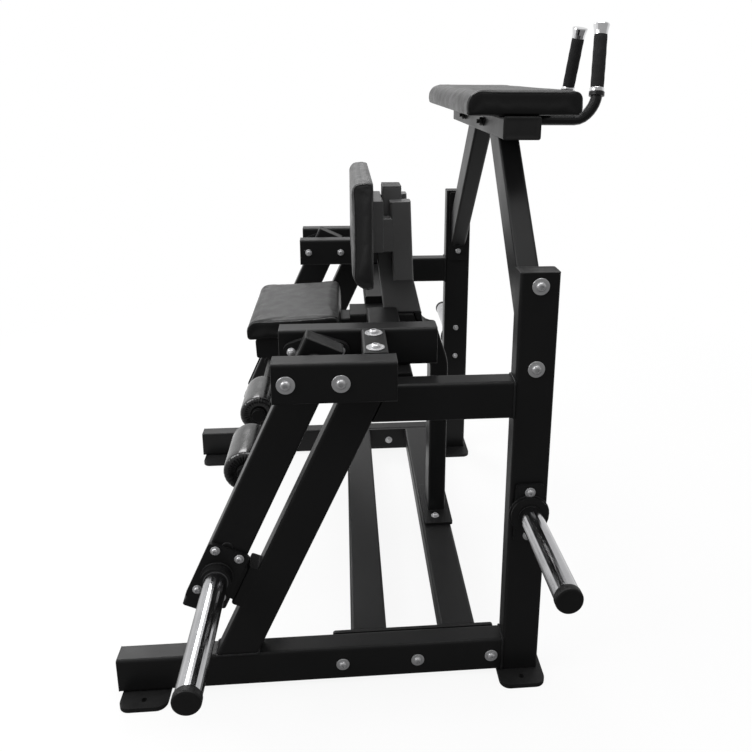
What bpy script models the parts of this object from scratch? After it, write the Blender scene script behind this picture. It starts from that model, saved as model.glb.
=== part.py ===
"""Iso-lateral kneeling hamstring machine: a welded and bolted frame, two independent lever arms and three pads.

Metres, +Z up. +X points from the knee pad towards the handles, -Y is the near side, and the origin lies on
the floor under the middle of the machine. The two sides mirror each other about Y = 0.
"""

import math

import bmesh
import bpy
from mathutils import Matrix, Vector

# Stock and clearances
TUBE_DEEP = 0.080        # long side of the main rectangular tube
TUBE_THIN = 0.048        # short side of the main rectangular tube
TUBE_CORNER = 0.006      # outside corner radius of the tube
PLATE = 0.008            # thickness of welded flange plates
GAP = 0.0003             # joint line left between two pieces that touch
RUNNING_GAP = 0.0004     # radial clearance of a shaft in its bearing
ROUND_STEPS = 32         # facets round a turned piece
CORNER_STEPS = 3         # facets round a tube corner

# Overall sizes
HALF_WIDTH = 0.539       # centre plane to the outer face of the floor rail
RAIL_LEFT = -0.564       # free end of the floor rails
FOOT_THICK = 0.010
DECK = 0.702             # top of the upper beams and struts
CARRIER_SEAT = 0.006     # rise from there to the beams that carry the levers
UPRIGHT_X = 0.306        # centre of the rear uprights
UPRIGHT_TOP = 0.926

# Floor frame
CROSS_X = (-0.028, 0.173)
FLANGE_RISE = 0.066      # height of the bolted end plates on the cross beams
FOOT_LONG = 0.100
FOOT_OUT = 0.045         # how far a foot reaches past the rail, outwards and inwards
FOOT_IN = 0.057
FOOT_ROUND = 0.022
FOOT_HOLE = 0.0055
FOOT_LEFT_X = -0.506
FOOT_RIGHT_X = 0.306

# Side frames
STRUT_FOOT_X = -0.3110   # strut centre line where it meets the rail
STRUT_SLOPE = 0.4635     # run over rise
LEVER_LEFT = -0.205      # free end of the two beams that carry the lever
OUTER_BEAM_RIGHT = 0.023
INNER_BEAM_RIGHT = 0.119
LEVER_GAP = 0.134        # clear width between the two carrier beams, centred on the side frame
HEAD_X = -0.0136         # bridge block between the carrier beams
HEAD_LONG = 0.050

# Lever arms
PIVOT_X = -0.1295
ARM_LEAN = math.atan(STRUT_SLOPE)   # at rest an arm is parallel to its strut
ARM_ABOVE = 0.0445       # arm end above the pivot
ARM_BELOW = 0.596        # arm end below the pivot
SHAFT_RADIUS = 0.0125
BEARING_SPACING = 0.100  # between the two bolts of a flange bearing
BEARING_HUB = 0.029
BEARING_FLANGE = 0.014
BEARING_BOLT_BOSS = 0.017
BEARING_DEEP = 0.031
STOP_DOWN = 0.510        # middle of the rest stop, measured along the arm from the pivot
STOP_LONG = 0.097
BUMPER_THICK = 0.012
BUMPER_ROUND = 0.010

# Weight horns
HORN_RADIUS = 0.024
HORN_CAP_RADIUS = 0.0255
HORN_CAP_LONG = 0.016
LOAD_DOWN = 0.502        # load horn centre along the arm from the pivot
LOAD_REACH = 0.331       # horn tip from the arm's outer face
LOAD_PLATE = (0.088, 0.134)
LOAD_COLLAR = 0.031
COLLAR_LONG = 0.018
STORE_Z = 0.408
STORE_REACH = 0.296      # horn tip from the upright's outer face
STORE_TILT = math.radians(2.6)
STORE_PLATE = (0.060, 0.132)
STORE_DISC = 0.040
STORE_DISC_THICK = 0.010

# Ankle rollers
ROLLER_DOWN = 0.436      # axle along the arm from the pivot
ROLLER_ASIDE = -0.0055   # and across it, away from the strut
ROLLER_RADIUS = 0.0525
ROLLER_IN = 0.073        # roller ends, from the centre plane
ROLLER_OUT = 0.244
ROLLER_SHOULDER = 0.012
ROLLER_DISH = 0.004      # hollow of its ends
AXLE_RADIUS = 0.0125
AXLE_WALL = 0.006        # arm wall left outside the axle's end
AXLE_COLLAR = 0.021
AXLE_COLLAR_LONG = 0.014
AXLE_END_RADIUS = 0.018
AXLE_END_LONG = 0.006

# Centre structure
CENTRE_X = 0.180         # centre upright
CENTRE_BEND_Z = 0.545    # where it starts to lean forward
CENTRE_BEND_RADIUS = 0.120
CENTRE_LEAN = math.radians(18.0)
CENTRE_WIDE = 0.080
CENTRE_CUT_Z = 0.640     # level of the upright's top behind the post
CENTRE_FILLET = 0.040    # hollow from the post's foot down to that level
BASE_PLATE = (0.076, 0.200)
CENTRE_BEAM_LEFT = -0.057
CENTRE_BEAM_WIDE = 0.100
CENTRE_BEAM_TOP = 0.689
MID_TUBE_X = 0.0255
MID_TUBE_WIDE = 0.080

# Upholstery
PAD_CORNER = 0.030       # corner radius of the flat pads, seen from above
PAD_CROWN = 0.004
PAD_TUCK = 0.006         # how far their sides draw in at the board
EDGE_FACETS = 5

# Knee pad
KNEE_LEFT = -0.311
KNEE_RIGHT = -0.077
KNEE_HALF = 0.171
KNEE_BOTTOM = 0.677      # pad's underside above the end of the centre beam
KNEE_TILT = math.radians(2.5)    # the pad falls away from the thigh pad
KNEE_THICK = 0.049
KNEE_EDGE = 0.012
KNEE_FRAME_HALF = 0.160
KNEE_FRAME_LEFT = -0.288
KNEE_FRAME_WIDE = 0.056

# Thigh pad and its post
POST_FOOT_LEFT = 0.0325
POST_FOOT_RIGHT = 0.130
POST_NECK_LEFT = 0.0136  # front edge where the leaning part ends
POST_LEAN = math.radians(13.5)
POST_X = (0.0285, 0.0760)
POST_TOP = 1.019
POST_WIDE = 0.076
SIDE_TUBE_X = (0.0785, 0.0701)   # centre of the leaning side tubes, bottom and top
SIDE_TUBE_WIDE = 0.0515
SIDE_TUBE_Z = (0.789, 0.988)
SIDE_TUBE_THICK = 0.045
BRACKET_Z = (0.861, 0.990)
CHEEK_TOP = 0.947
THIGH_FRONT = -0.050
THIGH_THICK = 0.0490
THIGH_HALF = 0.214
THIGH_Z = (0.800, 1.0545)
THIGH_LOW_ROUND = 0.036
THIGH_TOP_ROUND = 0.016
THIGH_END_ROUND = 0.012

# Elbow pad, its beam and the A-shaped legs
REST_BEAM_HALF = 0.3505
REST_BEAM_X = 0.3010
REST_BEAM_TOP = 1.209
LEG_OUTER_AT_BEAM = 0.2004   # leg's outer edge from the centre plane, at the beam's underside
LEG_SLOPE = 0.9484           # outward run over drop
LEG_PLATE_Z = (0.698, 0.922)
LEG_PLATE_WIDE = 0.062
ELBOW_X = (0.181, 0.433)
ELBOW_HALF = 0.349
ELBOW_THICK = 0.053
ELBOW_EDGE = 0.018

# Handles
HANDLE_Y = 0.114
HANDLE_RADIUS = 0.0135
HANDLE_Z = 1.189
HANDLE_BEND = 0.050
GRIP_FOOT = Vector((0.5327, 0.1169, 1.2540))
GRIP_HEAD = Vector((0.5428, 0.0876, 1.3831))
GRIP_RADIUS = 0.0155
CAP_RADIUS = 0.0195
CAP_LONG = 0.0260
RING_RADIUS = 0.0185
RING_LONG = 0.0100

# Derived levels and places
RAIL_BOTTOM = FOOT_THICK + GAP
RAIL_TOP = RAIL_BOTTOM + TUBE_DEEP
FRAME_Y = HALF_WIDTH - TUBE_THIN / 2
INNER_FACE = HALF_WIDTH - TUBE_THIN
UPRIGHT_LEFT = UPRIGHT_X - TUBE_DEEP / 2
UPRIGHT_RIGHT = UPRIGHT_X + TUBE_DEEP / 2
CARRIER_BOTTOM = DECK + CARRIER_SEAT
CARRIER_TOP = CARRIER_BOTTOM + TUBE_DEEP
PIVOT_Z = CARRIER_BOTTOM + TUBE_DEEP / 2
OUTER_BEAM_FACE = FRAME_Y + LEVER_GAP / 2
INNER_BEAM_FACE = FRAME_Y - LEVER_GAP / 2
REST_BEAM_BOTTOM = REST_BEAM_TOP - TUBE_THIN
REST_BEAM_RIGHT = REST_BEAM_X + TUBE_DEEP / 2
CENTRE_BEAM_BOTTOM = CENTRE_BEAM_TOP - TUBE_DEEP
KNEE_HINGE = Vector((CENTRE_BEAM_LEFT, 0, KNEE_BOTTOM))

SIDES = (("near", -1), ("far", 1))


def clear_scene():
    for old in list(bpy.data.objects):
        bpy.data.objects.remove(old, do_unlink=True)


def material(name, colour, roughness, metallic=0.0):
    found = bpy.data.materials.new(name)
    found.use_nodes = True
    shader = found.node_tree.nodes["Principled BSDF"]
    shader.inputs["Base Color"].default_value = (*colour, 1.0)
    shader.inputs["Roughness"].default_value = roughness
    shader.inputs["Metallic"].default_value = metallic
    found.diffuse_color = (*colour, 1.0)
    return found


def make_materials():
    return {
        "coat": material("black_coat", (0.022, 0.022, 0.024), 0.42),
        "chrome": material("chrome", (0.78, 0.78, 0.80), 0.12, 1.0),
        "vinyl": material("black_vinyl", (0.018, 0.018, 0.019), 0.48),
        "rubber": material("black_rubber", (0.020, 0.020, 0.020), 0.75),
        "foam": material("foam_grip", (0.014, 0.014, 0.015), 0.85),
        "steel": material("zinc_steel", (0.55, 0.55, 0.56), 0.35, 1.0),
    }


def add_object(name, bm, finish, place=(0, 0, 0), turn=(0, 0, 0), parent=None, smooth=True):
    """Turns a bmesh into a named object with its material."""
    bmesh.ops.recalc_face_normals(bm, faces=bm.faces)
    mesh = bpy.data.meshes.new(name)
    bm.to_mesh(mesh)
    bm.free()
    if smooth:
        mesh.shade_smooth()
        mesh.set_sharp_from_angle(angle=math.radians(32))
    mesh.materials.append(finish)
    made = bpy.data.objects.new(name, mesh)
    made.location = place
    made.rotation_euler = turn
    made.parent = parent
    bpy.context.scene.collection.objects.link(made)
    return made


def add_empty(name, place, turn=(0, 0, 0), parent=None):
    made = bpy.data.objects.new(name, None)
    made.location = place
    made.rotation_euler = turn
    made.parent = parent
    made.empty_display_size = 0.05
    bpy.context.scene.collection.objects.link(made)
    return made


def boolean(target, helper, operation):
    """Adds or cuts a helper shape, which stays in the scene as a hidden wire."""
    helper.hide_render = True
    helper.display_type = "WIRE"
    step = target.modifiers.new(helper.name, "BOOLEAN")
    step.operation = operation
    step.solver = "EXACT"
    step.object = helper


def rounded_outline(wide, high, radius, steps=CORNER_STEPS):
    """Points of a rectangle with round corners, anticlockwise about its middle."""
    points = []
    for turn, (sx, sy) in enumerate(((1, 1), (-1, 1), (-1, -1), (1, -1))):
        for step in range(steps + 1):
            angle = math.pi / 2 * (turn + step / steps)
            x = sx * (wide / 2 - radius) + radius * math.cos(angle)
            y = sy * (high / 2 - radius) + radius * math.sin(angle)
            points.append((x, y))
    return points


def bridge_rings(bm, rings, closed=False):
    """Skins a list of equal rings of vertices and caps the two ends."""
    count = len(rings[0])
    pairs = list(zip(rings, rings[1:]))
    if closed:
        pairs.append((rings[-1], rings[0]))
    for first, second in pairs:
        for i in range(count):
            j = (i + 1) % count
            bm.faces.new((first[i], first[j], second[j], second[i]))
    if not closed:
        bm.faces.new(rings[0])
        bm.faces.new(rings[-1])


def add_ring(bm, points):
    return [bm.verts.new(point) for point in points]


def bar(bm, size, centre=(0, 0, 0), along="z", radius=TUBE_CORNER):
    """A rounded tube of size (x, y, z) whose long corners run along one axis."""
    x, y, z = size
    frames = {
        "x": ((y, z), lambda u, v, w: (w, u, v), x),
        "y": ((z, x), lambda u, v, w: (v, w, u), y),
        "z": ((x, y), lambda u, v, w: (u, v, w), z),
    }
    (wide, high), place, length = frames[along]
    outline = rounded_outline(wide, high, radius)
    rings = []
    for end in (-length / 2, length / 2):
        rings.append(add_ring(bm, [Vector(centre) + Vector(place(u, v, end)) for u, v in outline]))
    bridge_rings(bm, rings)
    return bm


def new_bar(name, finish, low, high, along, radius=TUBE_CORNER, parent=None):
    """A rounded tube between two corners, with its origin at its middle."""
    low = Vector(low)
    high = Vector(high)
    bm = bar(bmesh.new(), high - low, (0, 0, 0), along, radius)
    return add_object(name, bm, finish, (low + high) / 2, parent=parent)


def span(side, first, second):
    """The two Y values of a piece on one side, lowest first."""
    return sorted((side * first, side * second))


def side_bar(name, finish, side, x, y, z, along):
    """A rounded tube given by its X, outward Y and Z ranges."""
    y_low, y_high = span(side, *y)
    return new_bar(name, finish, (x[0], y_low, z[0]), (x[1], y_high, z[1]), along)


def revolve(bm, profile, steps=ROUND_STEPS, axis="z"):
    """Turns (radius, height) points, from one pole to the other, about an axis."""
    rings = []
    for radius, height in profile:
        ring = []
        for step in range(steps):
            angle = 2 * math.pi * step / steps
            u = radius * math.cos(angle)
            v = radius * math.sin(angle)
            ring.append({"x": (height, u, v), "y": (v, height, u), "z": (u, v, height)}[axis])
        rings.append(add_ring(bm, ring))
    bridge_rings(bm, rings)
    return bm


def extrude_outline(bm, points, low, high, axis="y"):
    """Extrudes an outline of (x, z) points along Y, or of (y, z) points along X."""
    rings = []
    for level in (low, high):
        if axis == "y":
            rings.append(add_ring(bm, [(u, level, v) for u, v in points]))
        else:
            rings.append(add_ring(bm, [(level, u, v) for u, v in points]))
    bridge_rings(bm, rings)
    return bm


def cut_with_plane(bm, point, normal):
    """Removes what lies on the normal's side of a plane and closes the cut."""
    geometry = bm.verts[:] + bm.edges[:] + bm.faces[:]
    cut = bmesh.ops.bisect_plane(
        bm, geom=geometry, plane_co=Vector(point), plane_no=Vector(normal), clear_outer=True
    )
    edges = [item for item in cut["geom_cut"] if isinstance(item, bmesh.types.BMEdge)]
    bmesh.ops.holes_fill(bm, edges=edges, sides=0)


def slanted_tube(bm, start, end, size, spare):
    """A rounded tube along the line start to end in the XZ or YZ plane, with spare length at both ends."""
    start = Vector(start)
    end = Vector(end)
    direction = (end - start).normalized()
    if abs(direction.y) < 1e-6:
        across = Vector((0, 1, 0))
    else:
        across = Vector((1, 0, 0))
    other = direction.cross(across)
    outline = rounded_outline(size[0], size[1], TUBE_CORNER)
    rings = []
    for centre in (start - direction * spare, end + direction * spare):
        rings.append(add_ring(bm, [centre + across * u + other * v for u, v in outline]))
    bridge_rings(bm, rings)
    return bm


def strut_x(z):
    """Centre line of a front strut at a height."""
    return STRUT_FOOT_X + STRUT_SLOPE * (z - RAIL_TOP)


def make_rails(finish):
    for name, side in SIDES:
        y = (INNER_FACE, HALF_WIDTH)
        side_bar(f"rail_{name}", finish, side, (RAIL_LEFT, UPRIGHT_LEFT - GAP), y, (RAIL_BOTTOM, RAIL_TOP), "x")
        side_bar(
            f"upright_{name}", finish, side, (UPRIGHT_LEFT, UPRIGHT_RIGHT), y, (RAIL_BOTTOM, UPRIGHT_TOP), "z"
        )


def make_foot(name, finish, side, x):
    """A round-cornered floor plate with an anchor hole in its outer ear."""
    low = INNER_FACE - FOOT_IN
    high = HALF_WIDTH + FOOT_OUT
    outline = rounded_outline(FOOT_LONG, high - low, FOOT_ROUND, 6)
    bm = bmesh.new()
    bridge_rings(bm, [add_ring(bm, [(u, v, z) for u, v in outline]) for z in (0, FOOT_THICK)])
    foot = add_object(name, bm, finish, (x, side * (low + high) / 2, 0))
    hole = revolve(bmesh.new(), [(FOOT_HOLE, -FOOT_THICK), (FOOT_HOLE, 2 * FOOT_THICK)], 16)
    place = (x, side * (HALF_WIDTH + FOOT_OUT / 2), 0)
    boolean(foot, add_object(f"{name}_hole", hole, finish, place), "DIFFERENCE")


def make_feet(finish):
    for name, side in SIDES:
        make_foot(f"foot_front_{name}", finish, side, FOOT_LEFT_X)
        make_foot(f"foot_rear_{name}", finish, side, FOOT_RIGHT_X)


def make_cross_beams(finish):
    """Two floor beams between long end plates, which are bolted to the rails."""
    plate_in = INNER_FACE - GAP - PLATE
    z = (RAIL_TOP - TUBE_THIN, RAIL_TOP)
    for name, x in zip(("front", "rear"), CROSS_X):
        low = (x - TUBE_DEEP / 2, -plate_in + GAP, z[0])
        high = (x + TUBE_DEEP / 2, plate_in - GAP, z[1])
        new_bar(f"cross_beam_{name}", finish, low, high, "y")
    plate_x = (CROSS_X[0] - TUBE_DEEP, CROSS_X[1] + TUBE_DEEP)
    plate_z = (RAIL_TOP - FLANGE_RISE, RAIL_TOP - GAP)
    for name, side in SIDES:
        y_low, y_high = span(side, plate_in, INNER_FACE - GAP)
        low = (plate_x[0], y_low, plate_z[0])
        high = (plate_x[1], y_high, plate_z[1])
        new_bar(f"cross_plate_{name}", finish, low, high, "y", TUBE_CORNER)


def strut_stop(name, finish, side):
    """The lug on a strut that the resting arm leans against, square to the arm."""
    arm_face = TUBE_DEEP / 2
    start = arm_face + BUMPER_THICK + 2 * GAP
    lean = Matrix.Rotation(ARM_LEAN, 3, "Y")
    corner = lean @ Vector((arm_face, 0, -STOP_DOWN)) + Vector((PIVOT_X, 0, PIVOT_Z))
    strut_left = strut_x(corner.z) - TUBE_DEEP / 2 * math.hypot(1, STRUT_SLOPE)
    reach = (strut_left - corner.x) * math.cos(ARM_LEAN) + arm_face + TUBE_THIN / 4
    bm = bar(
        bmesh.new(),
        (reach - start, TUBE_THIN - 2 * GAP, STOP_LONG),
        ((reach + start) / 2, 0, -STOP_DOWN),
        "z",
        TUBE_CORNER,
    )
    place = (PIVOT_X, side * FRAME_Y, PIVOT_Z)
    return add_object(f"{name}_stop", bm, finish, place, (0, ARM_LEAN, 0))


def make_struts(finish):
    """Leaning front legs of the side frames, each with the lug of the rest stop."""
    for name, side in SIDES:
        y = side * FRAME_Y
        start = (strut_x(RAIL_TOP), y, RAIL_TOP)
        end = (strut_x(DECK), y, DECK)
        bm = slanted_tube(bmesh.new(), start, end, (TUBE_THIN, TUBE_DEEP), TUBE_DEEP)
        cut_with_plane(bm, (0, 0, RAIL_TOP + GAP), (0, 0, -1))
        cut_with_plane(bm, (0, 0, DECK), (0, 0, 1))
        strut = add_object(f"strut_{name}", bm, finish)
        boolean(strut, strut_stop(strut.name, finish, side), "UNION")


def make_upper_beams(finish):
    """Beams from the struts to the uprights, mitred along the strut."""
    lean = math.hypot(1, STRUT_SLOPE)
    edge = strut_x(DECK) + TUBE_DEEP / 2 * lean + GAP * lean
    for name, side in SIDES:
        y_low, y_high = span(side, INNER_FACE, HALF_WIDTH)
        low = Vector((edge - TUBE_DEEP, y_low, DECK - TUBE_DEEP))
        high = Vector((UPRIGHT_LEFT - GAP, y_high, DECK))
        bm = bar(bmesh.new(), high - low, (low + high) / 2, "x")
        cut_with_plane(bm, (edge, 0, DECK), (-1, 0, STRUT_SLOPE))
        add_object(f"upper_beam_{name}", bm, finish)


def make_lever_carriers(finish):
    """The outer and inner beams that carry a lever, and the block that bridges them over the strut."""
    z = (CARRIER_BOTTOM, CARRIER_TOP)
    for name, side in SIDES:
        outer = (OUTER_BEAM_FACE, OUTER_BEAM_FACE + TUBE_THIN)
        inner = (INNER_BEAM_FACE - TUBE_THIN, INNER_BEAM_FACE)
        bridge = (INNER_BEAM_FACE + GAP, OUTER_BEAM_FACE - GAP)
        side_bar(f"outer_beam_{name}", finish, side, (LEVER_LEFT, OUTER_BEAM_RIGHT), outer, z, "x")
        side_bar(f"inner_beam_{name}", finish, side, (LEVER_LEFT, INNER_BEAM_RIGHT), inner, z, "x")
        x = (HEAD_X - HEAD_LONG / 2, HEAD_X + HEAD_LONG / 2)
        block = side_bar(f"head_block_{name}", finish, side, x, bridge, z, "y")
        seat_x = (x[0] + TUBE_CORNER, x[1] - TUBE_CORNER)
        seat_z = (DECK + GAP, CARRIER_BOTTOM + TUBE_CORNER)
        seat = side_bar(f"head_seat_{name}", finish, side, seat_x, (INNER_FACE + GAP, HALF_WIDTH), seat_z, "y")
        boolean(block, seat, "UNION")


def bearing_outline():
    """A two-bolt bearing flange: two small bosses joined by tangents to a round middle."""
    reach = BEARING_SPACING / 2
    middle = BEARING_HUB + BEARING_BOLT_BOSS / 4
    tangent = math.acos((middle - BEARING_BOLT_BOSS) / reach)
    arcs = (
        (reach, BEARING_BOLT_BOSS, -tangent, tangent),
        (0, middle, tangent, math.pi - tangent),
        (-reach, BEARING_BOLT_BOSS, math.pi - tangent, math.pi + tangent),
        (0, middle, math.pi + tangent, 2 * math.pi - tangent),
    )
    points = []
    for centre, radius, first, last in arcs:
        for step in range(9):
            angle = first + (last - first) * step / 8
            point = (centre + radius * math.cos(angle), radius * math.sin(angle))
            if not points or math.dist(points[-1], point) > 1e-5:
                points.append(point)
    if math.dist(points[0], points[-1]) < 1e-5:
        points.pop()
    return points


def make_bearing(name, finish, face, inward):
    """A flange bearing bolted to a carrier beam's face, its hub pointing at the arm."""
    bm = extrude_outline(bmesh.new(), bearing_outline(), *sorted((0, inward * BEARING_FLANGE)))
    place = (PIVOT_X, face, PIVOT_Z)
    bearing = add_object(name, bm, finish, place)
    hub_ends = sorted((inward * BEARING_FLANGE / 2, inward * BEARING_DEEP))
    hub = revolve(bmesh.new(), [(BEARING_HUB, end) for end in hub_ends], axis="y")
    boolean(bearing, add_object(f"{name}_hub", hub, finish, place), "UNION")
    bore = [(SHAFT_RADIUS + RUNNING_GAP, end) for end in (-2 * BEARING_DEEP, 2 * BEARING_DEEP)]
    bore = revolve(bmesh.new(), bore, axis="y")
    boolean(bearing, add_object(f"{name}_bore", bore, finish, place), "DIFFERENCE")


def make_bearings(finish):
    for name, side in SIDES:
        make_bearing(f"bearing_outer_{name}", finish, side * (OUTER_BEAM_FACE - GAP), -side)
        make_bearing(f"bearing_inner_{name}", finish, side * (INNER_BEAM_FACE + GAP), side)


def make_arm(name, finish, side, pivot):
    """A lever arm with its welded pivot shaft, bored for the roller axle."""
    length = ARM_ABOVE + ARM_BELOW
    middle = (ARM_ABOVE - ARM_BELOW) / 2
    bm = bar(bmesh.new(), (TUBE_DEEP, TUBE_THIN, length), (0, 0, middle), "z")
    arm = add_object(f"arm_{name}", bm, finish, parent=pivot)
    half = LEVER_GAP / 2 - 3 * GAP
    step = LEVER_GAP / 2 - BEARING_DEEP - 2 * RUNNING_GAP
    wide = SHAFT_RADIUS + TUBE_CORNER
    profile = [(SHAFT_RADIUS, -half), (SHAFT_RADIUS, -step), (wide, -step)]
    profile += [(wide, step), (SHAFT_RADIUS, step), (SHAFT_RADIUS, half)]
    shaft = add_object(f"arm_{name}_shaft", revolve(bmesh.new(), profile, axis="y"), finish, parent=pivot)
    boolean(arm, shaft, "UNION")
    bore = [(AXLE_RADIUS + GAP, side * end) for end in (-TUBE_THIN, TUBE_THIN / 2 - AXLE_WALL)]
    bore = revolve(bmesh.new(), bore, axis="y")
    hole = add_object(f"arm_{name}_axle_hole", bore, finish, (ROLLER_ASIDE, 0, -ROLLER_DOWN), parent=pivot)
    boolean(arm, hole, "DIFFERENCE")


def turned(name, finish, points, side, place, parent=None, closed=False, steps=ROUND_STEPS):
    """A turned piece whose (radius, outward Y) points are mirrored to its side."""
    profile = [(radius, side * y) for radius, y in points]
    bm = bmesh.new()
    rings = []
    for radius, y in profile:
        ring = []
        for step in range(steps):
            angle = 2 * math.pi * step / steps
            ring.append((radius * math.sin(angle), y, radius * math.cos(angle)))
        rings.append(add_ring(bm, ring))
    bridge_rings(bm, rings, closed)
    return add_object(name, bm, finish, place, parent=parent)


def horn_cap_profile(start):
    """A plastic cap with a rolled rim, from its seat on the horn's end."""
    edge = HORN_CAP_LONG / 4
    return [
        (HORN_CAP_RADIUS - edge / 2, start),
        (HORN_CAP_RADIUS, start + edge / 2),
        (HORN_CAP_RADIUS, start + HORN_CAP_LONG - edge),
        (HORN_CAP_RADIUS - edge * 0.3, start + HORN_CAP_LONG - edge * 0.3),
        (HORN_CAP_RADIUS - edge, start + HORN_CAP_LONG),
    ]


def plate_with_round_corners(bm, wide, high, low_y, high_y, radius=TUBE_CORNER):
    return extrude_outline(bm, rounded_outline(wide, high, radius), low_y, high_y)


def make_load_horn(name, side, pivot, finishes):
    """The plate horn bolted to an arm's outer face, and its end cap."""
    face = TUBE_THIN / 2 + GAP
    ends = sorted((side * face, side * (face + PLATE)))
    plate = plate_with_round_corners(bmesh.new(), *LOAD_PLATE, *ends)
    place = (0, 0, -LOAD_DOWN)
    horn = add_object(f"load_horn_{name}", plate, finishes["chrome"], place, parent=pivot)
    cap_start = LOAD_REACH + TUBE_THIN / 2 - HORN_CAP_LONG
    points = [
        (LOAD_COLLAR, face + PLATE / 2),
        (LOAD_COLLAR, face + PLATE + COLLAR_LONG),
        (HORN_RADIUS, face + PLATE + COLLAR_LONG + GAP),
        (HORN_RADIUS, cap_start - GAP),
    ]
    rod = turned(f"load_horn_{name}_rod", finishes["chrome"], points, side, place, pivot)
    boolean(horn, rod, "UNION")
    turned(f"load_horn_cap_{name}", finishes["rubber"], horn_cap_profile(cap_start), side, place, pivot)


def make_axle(name, side, pivot, finish):
    """The roller axle: set in the arm, with a welded collar, a shoulder and an end bolt beyond the roller."""
    shoulder = ROLLER_OUT + 2 * RUNNING_GAP - FRAME_Y
    end = ROLLER_IN - 2 * RUNNING_GAP - FRAME_Y
    inner = -TUBE_THIN / 2 - GAP
    points = [
        (AXLE_RADIUS, TUBE_THIN / 2 - AXLE_WALL - GAP),
        (AXLE_RADIUS, inner),
        (AXLE_COLLAR, inner),
        (AXLE_COLLAR, inner - AXLE_COLLAR_LONG),
        (AXLE_RADIUS, inner - AXLE_COLLAR_LONG),
        (AXLE_RADIUS, shoulder + AXLE_END_LONG),
        (AXLE_END_RADIUS, shoulder + AXLE_END_LONG),
        (AXLE_END_RADIUS, shoulder),
        (AXLE_RADIUS, shoulder),
        (AXLE_RADIUS, end),
        (AXLE_END_RADIUS, end),
        (AXLE_END_RADIUS, end - AXLE_END_LONG),
    ]
    turned(f"roller_axle_{name}", finish, points, side, (ROLLER_ASIDE, 0, -ROLLER_DOWN), pivot)


def make_roller(name, side, pivot, finish):
    """A padded ankle roller: rounded shoulders, dished ends and a bore for its axle."""
    outer = ROLLER_OUT - FRAME_Y
    inner = ROLLER_IN - FRAME_Y
    bore = AXLE_RADIUS + RUNNING_GAP
    shoulder = ROLLER_SHOULDER
    dish = ROLLER_DISH
    points = [(bore, outer - dish / 4), (ROLLER_RADIUS * 0.45, outer - dish)]
    for step in range(6):
        angle = math.pi / 2 * step / 5
        points.append(
            (
                ROLLER_RADIUS - shoulder * (1 - math.sin(angle)),
                outer - shoulder * (1 - math.cos(angle)),
            )
        )
    points.append((ROLLER_RADIUS + dish / 4, (outer + inner) / 2))
    for step in range(6):
        angle = math.pi / 2 * (1 - step / 5)
        points.append(
            (
                ROLLER_RADIUS - shoulder * (1 - math.sin(angle)),
                inner + shoulder * (1 - math.cos(angle)),
            )
        )
    points += [(ROLLER_RADIUS * 0.45, inner + dish), (bore, inner + dish / 4)]
    place = (ROLLER_ASIDE, 0, -ROLLER_DOWN)
    turned(f"roller_{name}", finish, points, side, place, pivot, closed=True)


def make_levers(finishes):
    """Both lever arms, each with everything that swings with it."""
    for name, side in SIDES:
        place = (PIVOT_X, side * FRAME_Y, PIVOT_Z)
        pivot = add_empty(f"arm_pivot_{name}", place, (0, ARM_LEAN, 0))
        make_arm(name, finishes["coat"], side, pivot)
        make_load_horn(name, side, pivot, finishes)
        make_axle(name, side, pivot, finishes["steel"])
        make_roller(name, side, pivot, finishes["vinyl"])
        thick = BUMPER_THICK
        centre = (TUBE_DEEP / 2 + GAP + thick / 2, 0, -STOP_DOWN)
        bumper = bar(bmesh.new(), (thick, TUBE_THIN, STOP_LONG - thick), centre, "x", BUMPER_ROUND)
        add_object(f"stop_bumper_{name}", bumper, finishes["rubber"], place, (0, ARM_LEAN, 0))


def make_storage_horns(finishes):
    """Plate storage horns bolted to the rear uprights, tilted up a little so that plates stay on."""
    for name, side in SIDES:
        place = (UPRIGHT_X, side * (HALF_WIDTH + GAP), STORE_Z)
        ends = sorted((0, side * PLATE))
        plate = plate_with_round_corners(bmesh.new(), *STORE_PLATE, *ends)
        horn = add_object(f"storage_horn_{name}", plate, finishes["chrome"], place)
        cap_start = STORE_REACH - HORN_CAP_LONG
        points = [
            (STORE_DISC, PLATE * 0.6),
            (STORE_DISC, PLATE + STORE_DISC_THICK),
            (HORN_RADIUS, PLATE + STORE_DISC_THICK + GAP),
            (HORN_RADIUS, cap_start - GAP),
        ]
        rod = turned(f"storage_horn_{name}_rod", finishes["chrome"], points, side, place)
        rod.rotation_euler.x = side * STORE_TILT
        boolean(horn, rod, "UNION")
        cap = turned(
            f"storage_horn_cap_{name}", finishes["rubber"], horn_cap_profile(cap_start), side, place
        )
        cap.rotation_euler.x = side * STORE_TILT


def make_mid_tubes(finish):
    """Cross tubes between the upper beams and the centre beam, under the inner carrier beams."""
    x = (MID_TUBE_X - MID_TUBE_WIDE / 2, MID_TUBE_X + MID_TUBE_WIDE / 2)
    y = (CENTRE_BEAM_WIDE / 2 + GAP, INNER_FACE - GAP)
    top = CARRIER_BOTTOM - GAP
    for name, side in SIDES:
        side_bar(f"mid_tube_{name}", finish, side, x, y, (top - TUBE_THIN, top), "y")


def centre_x(z):
    """Centre line of the centre upright, above its bend."""
    return CENTRE_X - math.tan(CENTRE_LEAN) * (z - CENTRE_BEND_Z)


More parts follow.
